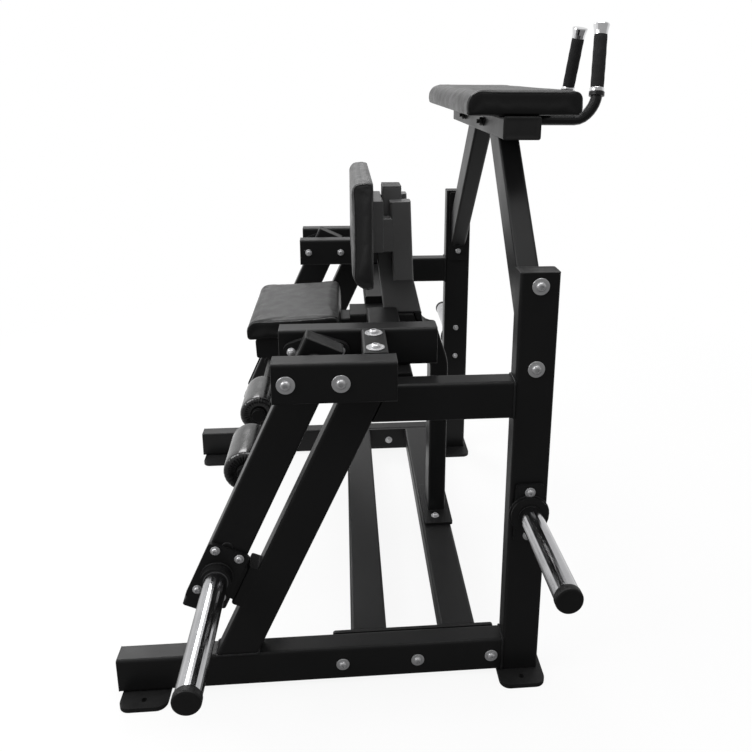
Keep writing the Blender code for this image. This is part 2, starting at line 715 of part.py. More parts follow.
def centre_path():
    """The centre upright's line: straight up, round the bend, then leaning forward."""
    inset = CENTRE_BEND_RADIUS * math.tan(CENTRE_LEAN / 2)
    points = [(CENTRE_X, RAIL_TOP + GAP + PLATE / 2, 0.0)]
    for step in range(9):
        angle = CENTRE_LEAN * step / 8
        x = CENTRE_X - CENTRE_BEND_RADIUS * (1 - math.cos(angle))
        z = CENTRE_BEND_Z - inset + CENTRE_BEND_RADIUS * math.sin(angle)
        points.append((x, z, angle))
    top = CENTRE_BEAM_TOP + TUBE_DEEP
    points.append((centre_x(top), top, CENTRE_LEAN))
    return points


def hollow_outline():
    """The space behind the post's foot: a quarter round down to the upright's level top."""
    left = POST_FOOT_RIGHT + GAP
    right = left + 2 * CENTRE_FILLET
    top = CENTRE_BEAM_TOP + PLATE
    points = [(left, top)]
    for step in range(7):
        angle = math.pi * (1 + step / 12)
        x = left + CENTRE_FILLET * (1 + math.cos(angle))
        points.append((x, CENTRE_CUT_Z + CENTRE_FILLET * (1 + math.sin(angle))))
    return points + [(right, CENTRE_CUT_Z), (right, top)]


def make_centre_upright(finish):
    """A bent tube on a bolted base plate, level with the beam under the post and hollowed out behind it."""
    bm = bmesh.new()
    outline = rounded_outline(CENTRE_WIDE, TUBE_THIN, TUBE_CORNER)
    rings = []
    for x, z, lean in centre_path():
        across = Vector((math.cos(lean), 0, math.sin(lean)))
        rings.append(add_ring(bm, [Vector((x, u, z)) + across * v for u, v in outline]))
    bridge_rings(bm, rings)
    cut_with_plane(bm, (0, 0, CENTRE_BEAM_TOP), (0, 0, 1))
    upright = add_object("centre_upright", bm, finish)
    hollow = extrude_outline(bmesh.new(), hollow_outline(), -CENTRE_WIDE, CENTRE_WIDE)
    boolean(upright, add_object("centre_upright_hollow", hollow, finish), "DIFFERENCE")
    plate = bmesh.new()
    outline = rounded_outline(*BASE_PLATE, TUBE_CORNER)
    for_levels = (RAIL_TOP + GAP, RAIL_TOP + GAP + PLATE)
    bridge_rings(plate, [add_ring(plate, [(u, v, z) for u, v in outline]) for z in for_levels])
    boolean(upright, add_object("centre_upright_base", plate, finish, (CENTRE_X, 0, 0)), "UNION")


def make_centre_beam(finish):
    """The middle beam, with the lower tee that carries the knee pad."""
    half = CENTRE_BEAM_WIDE / 2
    lean = math.tan(CENTRE_LEAN)
    tube_reach = TUBE_THIN / 2 / math.cos(CENTRE_LEAN)
    right = centre_x(CENTRE_BEAM_BOTTOM) - tube_reach - GAP / math.cos(CENTRE_LEAN)
    low = Vector((CENTRE_BEAM_LEFT, -half, CENTRE_BEAM_BOTTOM))
    high = Vector((right, half, CENTRE_BEAM_TOP))
    bm = bar(bmesh.new(), high - low, (low + high) / 2, "x")
    cut_with_plane(bm, (right, 0, CENTRE_BEAM_BOTTOM), (1, 0, lean))
    beam = add_object("centre_beam", bm, finish)
    turn = (0, -KNEE_TILT, 0)
    level = -GAP - TUBE_THIN / 2
    tee_x = KNEE_FRAME_LEFT + KNEE_FRAME_WIDE / 2 - CENTRE_BEAM_LEFT
    tee = bar(bmesh.new(), (KNEE_FRAME_WIDE, 2 * KNEE_FRAME_HALF, TUBE_THIN), (tee_x, 0, level), "y")
    tee = add_object("centre_beam_tee", tee, finish, KNEE_HINGE, turn)
    stem_left = tee_x + KNEE_FRAME_WIDE / 2 - TUBE_CORNER * 2
    stem_right = TUBE_CORNER * 2
    stem_size = (stem_right - stem_left, TUBE_DEEP, TUBE_THIN - 2 * GAP)
    stem = bar(bmesh.new(), stem_size, ((stem_left + stem_right) / 2, 0, level), "x")
    stem = add_object("centre_beam_stem", stem, finish, KNEE_HINGE, turn)
    boolean(beam, stem, "UNION")
    boolean(beam, tee, "UNION")


def make_thigh_post(finish):
    """The post on the centre beam: a wide leaning foot and a narrow upright head."""
    run = math.tan(POST_LEAN)
    foot_z = CENTRE_BEAM_TOP + GAP
    lean_top = BRACKET_Z[0] - GAP * 10
    right_top = POST_FOOT_RIGHT - run * (lean_top - foot_z)
    outline = [
        (POST_FOOT_LEFT, foot_z),
        (POST_FOOT_RIGHT, foot_z),
        (right_top, lean_top),
        (POST_X[1], lean_top),
        (POST_X[1], POST_TOP),
        (POST_X[0], POST_TOP),
        (POST_X[0], lean_top),
        (POST_NECK_LEFT, lean_top),
    ]
    bm = extrude_outline(bmesh.new(), outline, -POST_WIDE / 2, POST_WIDE / 2)
    post = add_object("thigh_post", bm, finish)
    soften(post, TUBE_CORNER / 2)


def soften(target, width):
    step = target.modifiers.new("edge_round", "BEVEL")
    step.width = width
    step.segments = 2
    step.limit_method = "ANGLE"
    step.angle_limit = math.radians(40)


def make_thigh_bracket(finish):
    """A block behind the thigh pad, with two cheeks and the side tubes that clamp it to the post."""
    back = THIGH_FRONT + THIGH_THICK + 2 * GAP
    inner = POST_WIDE / 2 + GAP
    outer = inner + SIDE_TUBE_THICK
    low = Vector((back, -outer, BRACKET_Z[0]))
    high = Vector((POST_X[0] - GAP, outer, BRACKET_Z[1]))
    bm = bar(bmesh.new(), high - low, (low + high) / 2, "y", TUBE_CORNER / 2)
    bracket = add_object("thigh_bracket", bm, finish)
    for name, side in SIDES:
        y_low, y_high = span(side, inner + GAP, outer - GAP)
        low = Vector((POST_X[0] - TUBE_CORNER * 2, y_low, BRACKET_Z[0] + GAP))
        high = Vector((SIDE_TUBE_X[1], y_high, CHEEK_TOP))
        cheek = bar(bmesh.new(), high - low, (low + high) / 2, "x", TUBE_CORNER / 2)
        boolean(bracket, add_object(f"thigh_bracket_cheek_{name}", cheek, finish), "UNION")
        y = side * (inner + outer) / 2
        start = (SIDE_TUBE_X[0], y, SIDE_TUBE_Z[0])
        end = (SIDE_TUBE_X[1], y, SIDE_TUBE_Z[1])
        tube = slanted_tube(bmesh.new(), start, end, (SIDE_TUBE_THICK, SIDE_TUBE_WIDE), 0)
        boolean(bracket, add_object(f"thigh_bracket_tube_{name}", tube, finish), "UNION")


def leg_outer(z):
    """Distance of a leg's outer edge from the centre plane at a height."""
    return LEG_OUTER_AT_BEAM + LEG_SLOPE * (REST_BEAM_BOTTOM - z)


def make_legs(finish):
    """Slanting legs from bolted plates on the uprights up to the elbow pad's beam."""
    half = TUBE_DEEP / 2 * math.hypot(1, LEG_SLOPE)
    top = REST_BEAM_BOTTOM - GAP
    plate_face = INNER_FACE - GAP - PLATE
    meet = REST_BEAM_BOTTOM - (plate_face - LEG_OUTER_AT_BEAM) / LEG_SLOPE
    for name, side in SIDES:
        start = (UPRIGHT_X, side * (leg_outer(top) - half), top)
        end = (UPRIGHT_X, side * (leg_outer(meet) - half), meet)
        bm = slanted_tube(bmesh.new(), start, end, (TUBE_THIN, TUBE_DEEP), 2 * TUBE_DEEP)
        cut_with_plane(bm, (0, 0, top), (0, 0, 1))
        cut_with_plane(bm, (0, side * (plate_face + PLATE / 2), 0), (0, side, 0))
        leg = add_object(f"leg_{name}", bm, finish)
        y_low, y_high = span(side, plate_face, INNER_FACE - GAP)
        outline = rounded_outline(LEG_PLATE_WIDE, LEG_PLATE_Z[1] - LEG_PLATE_Z[0], TUBE_CORNER)
        place = (UPRIGHT_X, 0, sum(LEG_PLATE_Z) / 2)
        plate = add_object(
            f"leg_{name}_plate", extrude_outline(bmesh.new(), outline, y_low, y_high), finish, place
        )
        boolean(leg, plate, "UNION")


def make_rest_beam(finish):
    low = (REST_BEAM_X - TUBE_DEEP / 2, -REST_BEAM_HALF, REST_BEAM_BOTTOM)
    new_bar("rest_beam", finish, low, (REST_BEAM_RIGHT, REST_BEAM_HALF, REST_BEAM_TOP), "y")


def cushion(name, finish, centre, size, thick, round_top, turn=(0, 0, 0)):
    """An upholstered pad on a board: tucked-in sides, rounded upper edge and crowned face.

    It is built lying flat, as a stack of round-cornered outlines given by (inset, height)."""
    tuck = PAD_TUCK
    shell = [(tuck, 0.0), (tuck * 0.2, thick * 0.10), (0.0, thick * 0.45), (tuck * 0.5, thick - round_top)]
    for step in range(1, 5):
        angle = math.pi / 2 * step / 4
        inset = tuck * 0.5 + round_top * (1 - math.cos(angle))
        shell.append((inset, thick - round_top + round_top * math.sin(angle)))
    reach = min(size) / 2 - round_top
    for step in (0.25, 0.5, 0.75, 0.93):
        inset = shell[7][0] + (reach - tuck) * step
        shell.append((inset, thick + PAD_CROWN * math.sin(math.pi / 2 * step)))
    bm = bmesh.new()
    rings = []
    for inset, height in shell:
        radius = max(PAD_CORNER - inset, PAD_CORNER * (1 - inset / (min(size) / 2)))
        outline = rounded_outline(size[0] - 2 * inset, size[1] - 2 * inset, radius, EDGE_FACETS)
        rings.append(add_ring(bm, [(u, v, height) for u, v in outline]))
    bridge_rings(bm, rings)
    return add_object(name, bm, finish, centre, turn)


def make_knee_pad(finish):
    size = (KNEE_RIGHT - KNEE_LEFT, 2 * KNEE_HALF)
    turn = (0, -KNEE_TILT, 0)
    reach = Vector(((KNEE_LEFT + KNEE_RIGHT) / 2 - CENTRE_BEAM_LEFT, 0, 0))
    centre = KNEE_HINGE + Matrix.Rotation(-KNEE_TILT, 3, "Y") @ reach
    cushion("knee_pad", finish, centre, size, KNEE_THICK - PAD_CROWN, KNEE_EDGE, turn)


def make_elbow_pad(finish):
    size = (ELBOW_X[1] - ELBOW_X[0], 2 * ELBOW_HALF)
    centre = (sum(ELBOW_X) / 2, 0, REST_BEAM_TOP + 2 * GAP)
    cushion("elbow_pad", finish, centre, size, ELBOW_THICK - PAD_CROWN, ELBOW_EDGE)


def thigh_section(inset, bulge):
    """The thigh pad's outline seen from its end: flat back, full front, large lower front corner."""
    back = THIGH_FRONT + THIGH_THICK
    front = THIGH_FRONT + inset - bulge
    low = THIGH_Z[0] + inset
    high = THIGH_Z[1] - inset
    points = [(back, high), (back, low)]
    for centre, radius, first in (
        ((front + THIGH_LOW_ROUND, low + THIGH_LOW_ROUND), THIGH_LOW_ROUND, 1.5),
        ((front + THIGH_TOP_ROUND, high - THIGH_TOP_ROUND), THIGH_TOP_ROUND, 1.0),
    ):
        for step in range(7):
            angle = math.pi * (first - 0.5 * step / 6)
            points.append((centre[0] + radius * math.cos(angle), centre[1] + radius * math.sin(angle)))
    return points


def make_thigh_pad(finish):
    """An upright pad, crowned across its width and rounded at both ends."""
    end_round = THIGH_END_ROUND
    ends = []
    for step in range(5):
        angle = math.pi / 2 * step / 4
        ends.append((THIGH_HALF - end_round * (1 - math.cos(angle)), end_round * (1 - math.sin(angle))))
    inner = THIGH_HALF - end_round
    middle = [(inner * (1 - step / 4), 0.0) for step in range(1, 8)]
    other_end = [(-y, inset) for y, inset in reversed(ends)]
    bm = bmesh.new()
    rings = []
    for y, inset in ends + middle + other_end:
        bulge = PAD_CROWN * (1 - (y / THIGH_HALF) ** 2)
        rings.append(add_ring(bm, [(x, y, z) for x, z in thigh_section(inset, bulge)]))
    bridge_rings(bm, rings)
    add_object("thigh_pad", bm, finish)


def bezier(a, b, c, d, t):
    """A point of a cubic curve."""
    u = 1 - t
    return a * u**3 + b * 3 * u * u * t + c * 3 * u * t * t + d * t**3


def handle_path(side):
    """Stations (point, radius) of a handle tube: along X under the pad, then up into the grip."""
    mirror = Vector((1, side, 1))
    foot = GRIP_FOOT * mirror
    head = GRIP_HEAD * mirror
    axis = (head - foot).normalized()
    bend = Vector((GRIP_FOOT.x - HANDLE_BEND, side * HANDLE_Y, HANDLE_Z))
    start = Vector((REST_BEAM_RIGHT + GAP, side * HANDLE_Y, HANDLE_Z))
    pull = HANDLE_BEND * 0.62
    below = foot - axis * RING_LONG
    path = [(start, HANDLE_RADIUS)]
    for step in range(9):
        point = bezier(bend, bend + Vector((pull, 0, 0)), below - axis * pull * 0.6, below, step / 8)
        path.append((point, HANDLE_RADIUS))
    path += [(below, RING_RADIUS), (foot - axis * GAP, RING_RADIUS), (foot - axis * GAP, HANDLE_RADIUS)]
    path.append((head + axis * GAP, HANDLE_RADIUS))
    return path, foot, head, axis


def sweep_round(bm, path, steps=16):
    """Skins circles of given radius along a path, turning as little as the path allows."""
    normal = Vector((0, 1, 0))
    rings = []
    for i, (point, radius) in enumerate(path):
        before = path[max(i - 1, 0)][0]
        after = path[min(i + 1, len(path) - 1)][0]
        if (after - point).length < 1e-6:
            tangent = point - before
        elif (point - before).length < 1e-6:
            tangent = after - point
        else:
            tangent = (after - point).normalized() + (point - before).normalized()
        tangent.normalize()
        normal = (normal - tangent * normal.dot(tangent)).normalized()
        other = tangent.cross(normal)
        ring = []
        for step in range(steps):
            angle = 2 * math.pi * step / steps
            ring.append(point + (normal * math.cos(angle) + other * math.sin(angle)) * radius)
        rings.append(add_ring(bm, ring))
    bridge_rings(bm, rings)
    return bm


def turned_along(name, finish, points, foot, axis, closed=False, steps=24):
    """A turned piece whose (radius, distance) points run along an axis from its foot."""
    turn = Vector((0, 0, 1)).rotation_difference(axis).to_euler()
    bm = bmesh.new()
    rings = []
    for radius, distance in points:
        ring = []
        for step in range(steps):
            angle = 2 * math.pi * step / steps
            ring.append((radius * math.cos(angle), radius * math.sin(angle), distance))
        rings.append(add_ring(bm, ring))
    bridge_rings(bm, rings, closed)
    return add_object(name, bm, finish, foot, turn)


def make_handles(finishes):
    """Bent handle tubes with a ring, a foam sleeve and a flared metal end cap each."""
    for name, side in SIDES:
        path, foot, head, axis = handle_path(side)
        add_object(f"handle_{name}", sweep_round(bmesh.new(), path), finishes["coat"])
        length = (head - foot).length
        bore = HANDLE_RADIUS + GAP
        edge = GRIP_RADIUS * 0.1
        sleeve = [
            (bore, 0),
            (GRIP_RADIUS - edge, 0),
            (GRIP_RADIUS, edge),
            (GRIP_RADIUS, length - edge),
            (GRIP_RADIUS - edge, length),
            (bore, length),
        ]
        turned_along(f"grip_{name}", finishes["foam"], sleeve, foot, axis, closed=True)
        start = length + 2 * GAP
        flare = [
            (CAP_RADIUS * 0.82, start),
            (CAP_RADIUS * 0.84, start + CAP_LONG * 0.35),
            (CAP_RADIUS * 0.97, start + CAP_LONG * 0.80),
            (CAP_RADIUS, start + CAP_LONG * 0.90),
            (CAP_RADIUS * 0.94, start + CAP_LONG),
        ]
        turned_along(f"grip_cap_{name}", finishes["chrome"], flare, foot, axis)


def main():
    clear_scene()
    finishes = make_materials()
    coat = finishes["coat"]
    make_rails(coat)
    make_feet(finishes["rubber"])
    make_cross_beams(coat)
    make_struts(coat)
    make_upper_beams(coat)
    make_lever_carriers(coat)
    make_bearings(coat)
    make_levers(finishes)
    make_storage_horns(finishes)
    make_mid_tubes(coat)
    make_centre_upright(coat)
    make_centre_beam(coat)
    make_knee_pad(finishes["vinyl"])
    make_thigh_post(coat)
    make_thigh_bracket(coat)
    make_thigh_pad(finishes["vinyl"])
    make_legs(coat)
    make_rest_beam(coat)
    make_elbow_pad(finishes["vinyl"])
    make_handles(finishes)


main()
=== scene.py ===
import math

import bmesh
import bpy
import numpy as np
from mathutils import Matrix, Vector, noise
from mathutils.bvhtree import BVHTree


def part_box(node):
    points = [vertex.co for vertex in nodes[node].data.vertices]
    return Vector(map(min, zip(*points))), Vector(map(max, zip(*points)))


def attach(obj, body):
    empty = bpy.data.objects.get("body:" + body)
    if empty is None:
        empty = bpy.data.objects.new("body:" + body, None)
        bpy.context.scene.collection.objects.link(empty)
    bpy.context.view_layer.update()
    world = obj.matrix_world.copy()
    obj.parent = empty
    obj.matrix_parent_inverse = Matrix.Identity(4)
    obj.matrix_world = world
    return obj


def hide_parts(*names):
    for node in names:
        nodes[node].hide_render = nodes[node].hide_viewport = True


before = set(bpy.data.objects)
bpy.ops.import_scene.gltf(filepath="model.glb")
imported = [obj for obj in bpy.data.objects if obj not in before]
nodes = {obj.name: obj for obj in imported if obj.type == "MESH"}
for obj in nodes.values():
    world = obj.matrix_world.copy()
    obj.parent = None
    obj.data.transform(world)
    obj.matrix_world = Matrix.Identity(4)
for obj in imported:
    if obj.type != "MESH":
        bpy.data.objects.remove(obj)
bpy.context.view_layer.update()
SIDES = (("near", -1), ("far", 1))
X_AXIS, Y_AXIS, Z_AXIS = Vector((1, 0, 0)), Vector((0, 1, 0)), Vector((0, 0, 1))

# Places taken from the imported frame. All lengths are in metres.
OUTER_LOW, OUTER_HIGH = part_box("outer_beam_far")
INNER_LOW, INNER_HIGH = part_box("inner_beam_far")
RAIL_LOW, RAIL_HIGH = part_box("rail_far")
UPRIGHT_LOW, UPRIGHT_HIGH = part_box("upright_far")
SEAT_LOW, SEAT_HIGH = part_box("head_block_far")
FRAME_Y = (RAIL_LOW.y + RAIL_HIGH.y) / 2

# Sizes and places shared with the CAD source
TUBE_WIDE, TUBE_THIN = 0.080, 0.048
HALF_THIN = TUBE_THIN / 2
JOINT_LINE = 0.0003
PLATE = 0.0080 + JOINT_LINE
BEARING_DEEP = 0.0145
ARM_SLOPE = 0.4635
LEAN = Matrix.Rotation(math.atan(ARM_SLOPE), 3, "Y")
PIVOT_X, PIVOT_Z = -0.1295, 0.748
LOAD_DOWN, ROLLER_DOWN, ROLLER_ASIDE = 0.502, 0.436, -0.0055
ARM_TOP, ARM_FOOT = 0.0445, 0.596
STRUT_X = -0.311
HEAD_X, HEAD_LONG = (SEAT_LOW.x + SEAT_HIGH.x) / 2, 0.050
HEAD_IN, HEAD_OUT = INNER_HIGH.y + JOINT_LINE, OUTER_LOW.y - JOINT_LINE
HEAD_TOP = OUTER_HIGH.z
HORN_X, HORN_Z, HORN_COLLAR = 0.306, 0.408, 0.0212
LOAD_HORN_START = 0.5657
POST_PLUG_X, POST_PLUG_WIDE, POST_PLUG_LONG = 0.0523, 0.0475, 0.076
KNEE_HINGE, KNEE_BACK, KNEE_TILT = (-0.057, 0, 0.677), 0.137, 2.5
ELBOW_SEAT, THIGH_SEAT = (0.307, 0, 1.2096), (-0.001, 0, 0.92625)

# Places of fasteners and sizes of welds, measured in the photograph
BEARING_BOLTS_X = (PIVOT_X - 0.050, PIVOT_X + 0.050)
UPRIGHT_BOLT_X, UPRIGHT_BOLTS_Z = 0.3066, (0.899, 0.728)
RAIL_BOLTS_X, RAIL_BOLT_Z = (-0.0864, 0.0773, 0.2406), 0.050
HEAD_BOLTS_Y = (FRAME_Y - 0.041, FRAME_Y + 0.041)
HORN_BOLTS_Z = (0.458, 0.357)
LOAD_BOLTS_ASIDE, LOAD_BOLTS_UP = (-0.026, 0.026), (-0.042, 0.056)
BASE_BOLT_X, BASE_BOLTS_Y = 0.173, (-0.067, 0.067)
REST_NUT_Y, REST_NUT_UP = 0.130, 0.025
HORN_WELD, LOAD_WELD, AXLE_WELD = 0.0415, 0.0322, 0.0222
BEAD, FINE_BEAD = 0.0026, 0.0020

# Bolts as washer radius, head radius, head height. Nuts as washer radius, width, thickness, bolt end
BEAM_BOLT = (0.0172, 0.0098, 0.0062)
HEAD_BOLT = (0.0178, 0.0098, 0.0062)
RAIL_BOLT = (0.0142, 0.0086, 0.0056)
INNER_BOLT = (0.0100, 0.0070, 0.0050)
HORN_BOLT = (0.0110, 0.0078, 0.0052)
LOAD_BOLT = (0.0098, 0.0074, 0.0052)
BASE_BOLT = (0.0110, 0.0080, 0.0054)
RAIL_NUT = (0.0120, 0.0150, 0.0080, 0.004)
UPRIGHT_NUT = (0.0085, 0.0130, 0.0070, 0.003)
BEARING_NUT = (0.0090, 0.0150, 0.0070, 0.002)
REST_NUT = (0.0110, 0.0170, 0.0080, 0.005)


# Node helpers
def new_material(name):
    made = bpy.data.materials.new(name)
    made.use_nodes = True
    return made, made.node_tree, made.node_tree.nodes["Principled BSDF"]


def node(tree, kind, links=None, **values):
    """Adds a node. Names in values set its inputs or, failing that, its properties."""
    made = tree.nodes.new(kind)
    for key, value in values.items():
        label = key.replace("_", " ")
        if key in made.inputs:
            made.inputs[key].default_value = value
        elif label in made.inputs:
            made.inputs[label].default_value = value
        else:
            setattr(made, key, value)
    for target, source in (links or {}).items():
        tree.links.new(source, made.inputs[target])
    return made


def feed(tree, shader, **sources):
    """Links sources to the shader's inputs of the same names."""
    for name, source in sources.items():
        tree.links.new(source, shader.inputs[name.replace("_", " ")])


def maths(tree, operation, *sources):
    return node(tree, "ShaderNodeMath", dict(enumerate(sources)), operation=operation).outputs[0]


def ramp(tree, source, low, high, first, last):
    """Maps source from low..high to first..last."""
    made = node(tree, "ShaderNodeMapRange", {"Value": source})
    for key, value in zip(("From Min", "From Max", "To Min", "To Max"), (low, high, first, last)):
        made.inputs[key].default_value = value
    return made.outputs["Result"]


def spread(tree, source, low=0.0, high=1.0):
    """The middle tones of a noise, spread over low..high."""
    return ramp(tree, source, 0.3, 0.7, low, high)


def mixed(tree, factor, first, last):
    """A colour mix whose ends are colours or sockets."""
    made = node(tree, "ShaderNodeMix", data_type="RGBA")
    tree.links.new(factor, made.inputs["Factor"])
    for slot, value in (("A", first), ("B", last)):
        socket = [s for s in made.inputs if s.name == slot and s.type == "RGBA"][0]
        if isinstance(value, tuple):
            socket.default_value = (*value, 1.0)
        else:
            tree.links.new(value, socket)
    return [s for s in made.outputs if s.type == "RGBA"][0]


def shade(colour, factor, lift=0.0):
    return tuple(c * factor + lift for c in colour)


def object_point(tree):
    return node(tree, "ShaderNodeTexCoord").outputs["Object"]


def noise_of(tree, scale, detail=3.0, roughness=0.5, stretch=(1, 1, 1)):
    place = node(tree, "ShaderNodeMapping", {"Vector": object_point(tree)})
    place.inputs["Scale"].default_value = stretch
    made = node(tree, "ShaderNodeTexNoise", {"Vector": place.outputs[0]},
                Scale=scale, Detail=detail, Roughness=roughness)
    return made.outputs["Fac"]


def bump(tree, height, strength, distance, under=None):
    made = node(tree, "ShaderNodeBump", {"Height": height}, Strength=strength, Distance=distance)
    if under is not None:
        tree.links.new(under, made.inputs["Normal"])
    return made.outputs["Normal"]


def edge_mask(tree, radius):
    """1 on worn outside edges, 0 on flats: how far a rounded normal strays from the true one."""
    soft = node(tree, "ShaderNodeBevel", samples=4, Radius=radius)
    true = node(tree, "ShaderNodeNewGeometry").outputs["True Normal"]
    dot = node(tree, "ShaderNodeVectorMath", {0: soft.outputs[0]}, operation="DOT_PRODUCT")
    tree.links.new(true, dot.inputs[1])
    return soft.outputs[0], ramp(tree, dot.outputs["Value"], 0.995, 0.86, 0.0, 1.0)


# Finishes
def coat_material(name, colour, rough, specular, peel=0.12):
    """Satin powder coat: orange peel, faint cloudiness and edges rubbed a little lighter."""
    made, tree, shader = new_material(name)
    soft, edge = edge_mask(tree, 0.0022)
    cloud = noise_of(tree, 7.0, 4.0, 0.55)
    patches = ramp(tree, noise_of(tree, 60.0), 0.35, 0.7, 0.25, 1.0)
    flat = mixed(tree, spread(tree, cloud), colour, shade(colour, 1.18))
    rubbed = mixed(tree, maths(tree, "MULTIPLY", edge, patches), flat, shade(colour, 3.2, 0.012))
    fine = bump(tree, noise_of(tree, 900.0, 2.0, 0.6), peel, 0.0004, soft)
    waves = bump(tree, noise_of(tree, 260.0, 2.0), peel * 0.8, 0.0006, fine)
    gleam = spread(tree, cloud, rough - 0.04, rough + 0.05)
    feed(tree, shader, Base_Color=rubbed, Roughness=gleam, Normal=waves)
    shader.inputs["Specular IOR Level"].default_value = specular
    made.diffuse_color = (*shade(colour, 1.5, 0.004), 1.0)
    return made


def chrome_parts(tree, along="y", dull=0.10):
    """(roughness, normal) sockets of polished plate with fine drawn lines and a few rubbed bands."""
    lines = {"y": (900, 4, 900), "z": (900, 900, 4)}[along]
    drawn = noise_of(tree, 1.0, 2.0, 0.6, lines)
    rough = ramp(tree, noise_of(tree, 22.0, 3.0, 0.6), 0.35, 0.75, dull - 0.04, dull + 0.06)
    return rough, bump(tree, drawn, 0.06, 0.0002)


def smoky(tree, light, dark):
    """The faint clouds of a plated surface."""
    return mixed(tree, spread(tree, noise_of(tree, 14.0)), light, dark)


def chrome_material(name, along, tint, metallic=1.0, dull=0.10):
    made, tree, shader = new_material(name)
    rough, normal = chrome_parts(tree, along, dull)
    feed(tree, shader, Base_Color=smoky(tree, tint, shade(tint, 0.86)), Roughness=rough, Normal=normal)
    shader.inputs["Metallic"].default_value = metallic
    return made


def horn_material(name, start, colour):
    """A plate horn's one finish: black coat up to start from the centre plane, chrome rod beyond."""
    made, tree, shader = new_material(name)
    parts = node(tree, "ShaderNodeSeparateXYZ", {0: object_point(tree)})
    far = maths(tree, "ABSOLUTE", parts.outputs["Y"])
    rod = ramp(tree, far, start - 0.0002, start + 0.0002, 0.0, 1.0)
    coated = mixed(tree, spread(tree, noise_of(tree, 7.0, 4.0)), colour, shade(colour, 1.2))
    plated = smoky(tree, (0.52, 0.52, 0.53), (0.43, 0.43, 0.44))
    rough, normal = chrome_parts(tree, dull=0.16)
    blend = node(tree, "ShaderNodeMix", {0: rod, 3: rough})
    blend.inputs[2].default_value = 0.40
    feed(tree, shader, Base_Color=mixed(tree, rod, coated, plated), Metallic=rod,
         Roughness=blend.outputs[0], Normal=normal)
    shader.inputs["Specular IOR Level"].default_value = COAT_SPECULAR
    return made


def vinyl_material(name, colour, rough, specular, grain=850.0, relief=0.22):
    """Upholstery vinyl: leather-like cells, soft creases and a gloss that wanders a little."""
    made, tree, shader = new_material(name)
    cells = node(tree, "ShaderNodeTexVoronoi", {"Vector": object_point(tree)},
                 feature="DISTANCE_TO_EDGE", Scale=grain)
    pores = ramp(tree, cells.outputs["Distance"], 0.0, 0.28, 0.0, 1.0)
    tone = mixed(tree, spread(tree, noise_of(tree, 9.0, 4.0, 0.6)), colour, shade(colour, 1.35))
    crease = bump(tree, noise_of(tree, 16.0, 5.0, 0.55), 0.05, 0.004)
    feed(tree, shader, Base_Color=mixed(tree, pores, shade(colour, 0.55), tone),
         Roughness=spread(tree, noise_of(tree, 35.0), rough - 0.06, rough + 0.07),
         Normal=bump(tree, pores, relief, 0.0005, crease))
    shader.inputs["Specular IOR Level"].default_value = specular
    return made


def speckled_material(name, colour, rough, specular, scale, strength, depth):
    """Moulded rubber, plastic or foam: a fine even grain with faint mottling."""
    made, tree, shader = new_material(name)
    cloud = spread(tree, noise_of(tree, 30.0, 4.0, 0.6))
    feed(tree, shader, Base_Color=mixed(tree, cloud, colour, shade(colour, 1.4)),
         Roughness=spread(tree, noise_of(tree, 90.0), rough - 0.06, min(1.0, rough + 0.06)),
         Normal=bump(tree, noise_of(tree, scale, 3.0, 0.7), strength, depth))
    shader.inputs["Specular IOR Level"].default_value = specular
    return made


COAT_SPECULAR = 0.17
COAT_COLOUR = (0.0100, 0.0100, 0.0102)
VINYL_COLOUR = (0.0060, 0.0060, 0.0061)
coat = coat_material("coat", COAT_COLOUR, rough=0.36, specular=COAT_SPECULAR)
# A lighter copy of the black coat for the thigh post and its brackets: painted light, so that their faces
# read as more brightly lit
painted_light_coat = coat_material("coat_painted_light", (0.105, 0.105, 0.1055), rough=0.42, specular=0.30)
gloss = coat_material("coat_gloss", (0.0075, 0.0075, 0.0078), rough=0.24, specular=0.30, peel=0.05)
weld = coat_material("coat_weld", (0.010, 0.010, 0.0104), rough=0.36, specular=COAT_SPECULAR, peel=0.3)
chrome = chrome_material("chrome_cap", along="z", tint=(0.80, 0.80, 0.81))
zinc = chrome_material("zinc", along="y", tint=(0.60, 0.60, 0.61), metallic=0.60, dull=0.34)
load_horn = horn_material("load_horn_finish", LOAD_HORN_START, COAT_COLOUR)
store_horn = horn_material("storage_horn_finish", UPRIGHT_HIGH.y + HORN_COLLAR, COAT_COLOUR)
vinyl = vinyl_material("vinyl", VINYL_COLOUR, rough=0.36, specular=0.28)
# A lighter copy of the pad vinyl for the thigh pad: painted light, so that its faces read as more brightly
# lit
painted_light_thigh_vinyl = vinyl_material("painted_light_thigh_vinyl", (0.0290, 0.0290, 0.0294), rough=0.36, specular=0.36)
roller_vinyl = vinyl_material("roller_vinyl", VINYL_COLOUR, rough=0.20, specular=0.80,
                              grain=1100.0, relief=0.05)
# Seam piping lighter and glossier than the cover: its lighter colour is a painted highlight along the seams
painted_highlight_piping = vinyl_material("painted_highlight_piping", (0.034, 0.034, 0.0344), rough=0.26, specular=0.50, grain=1400.0)
cast = speckled_material("cast_black", (0.011, 0.011, 0.0112), rough=0.50, specular=COAT_SPECULAR,
                         scale=420.0, strength=0.35, depth=0.0007)
rubber = speckled_material("rubber", (0.011, 0.011, 0.011), rough=0.66, specular=0.2,
                           scale=500.0, strength=0.3, depth=0.0006)
plastic = speckled_material("cap_plastic", (0.012, 0.012, 0.012), rough=0.50, specular=0.3,
                            scale=800.0, strength=0.25, depth=0.0005)
dark_cap = speckled_material("horn_cap", (0.0065, 0.0065, 0.0066), rough=0.46, specular=0.2,
                             scale=800.0, strength=0.2, depth=0.0005)
foam = speckled_material("foam", (0.013, 0.013, 0.0135), rough=0.86, specular=0.3,
                         scale=1300.0, strength=0.6, depth=0.0008)
board = speckled_material("pad_board", (0.010, 0.010, 0.010), rough=0.60, specular=0.2,
                          scale=240.0, strength=0.3, depth=0.0006)

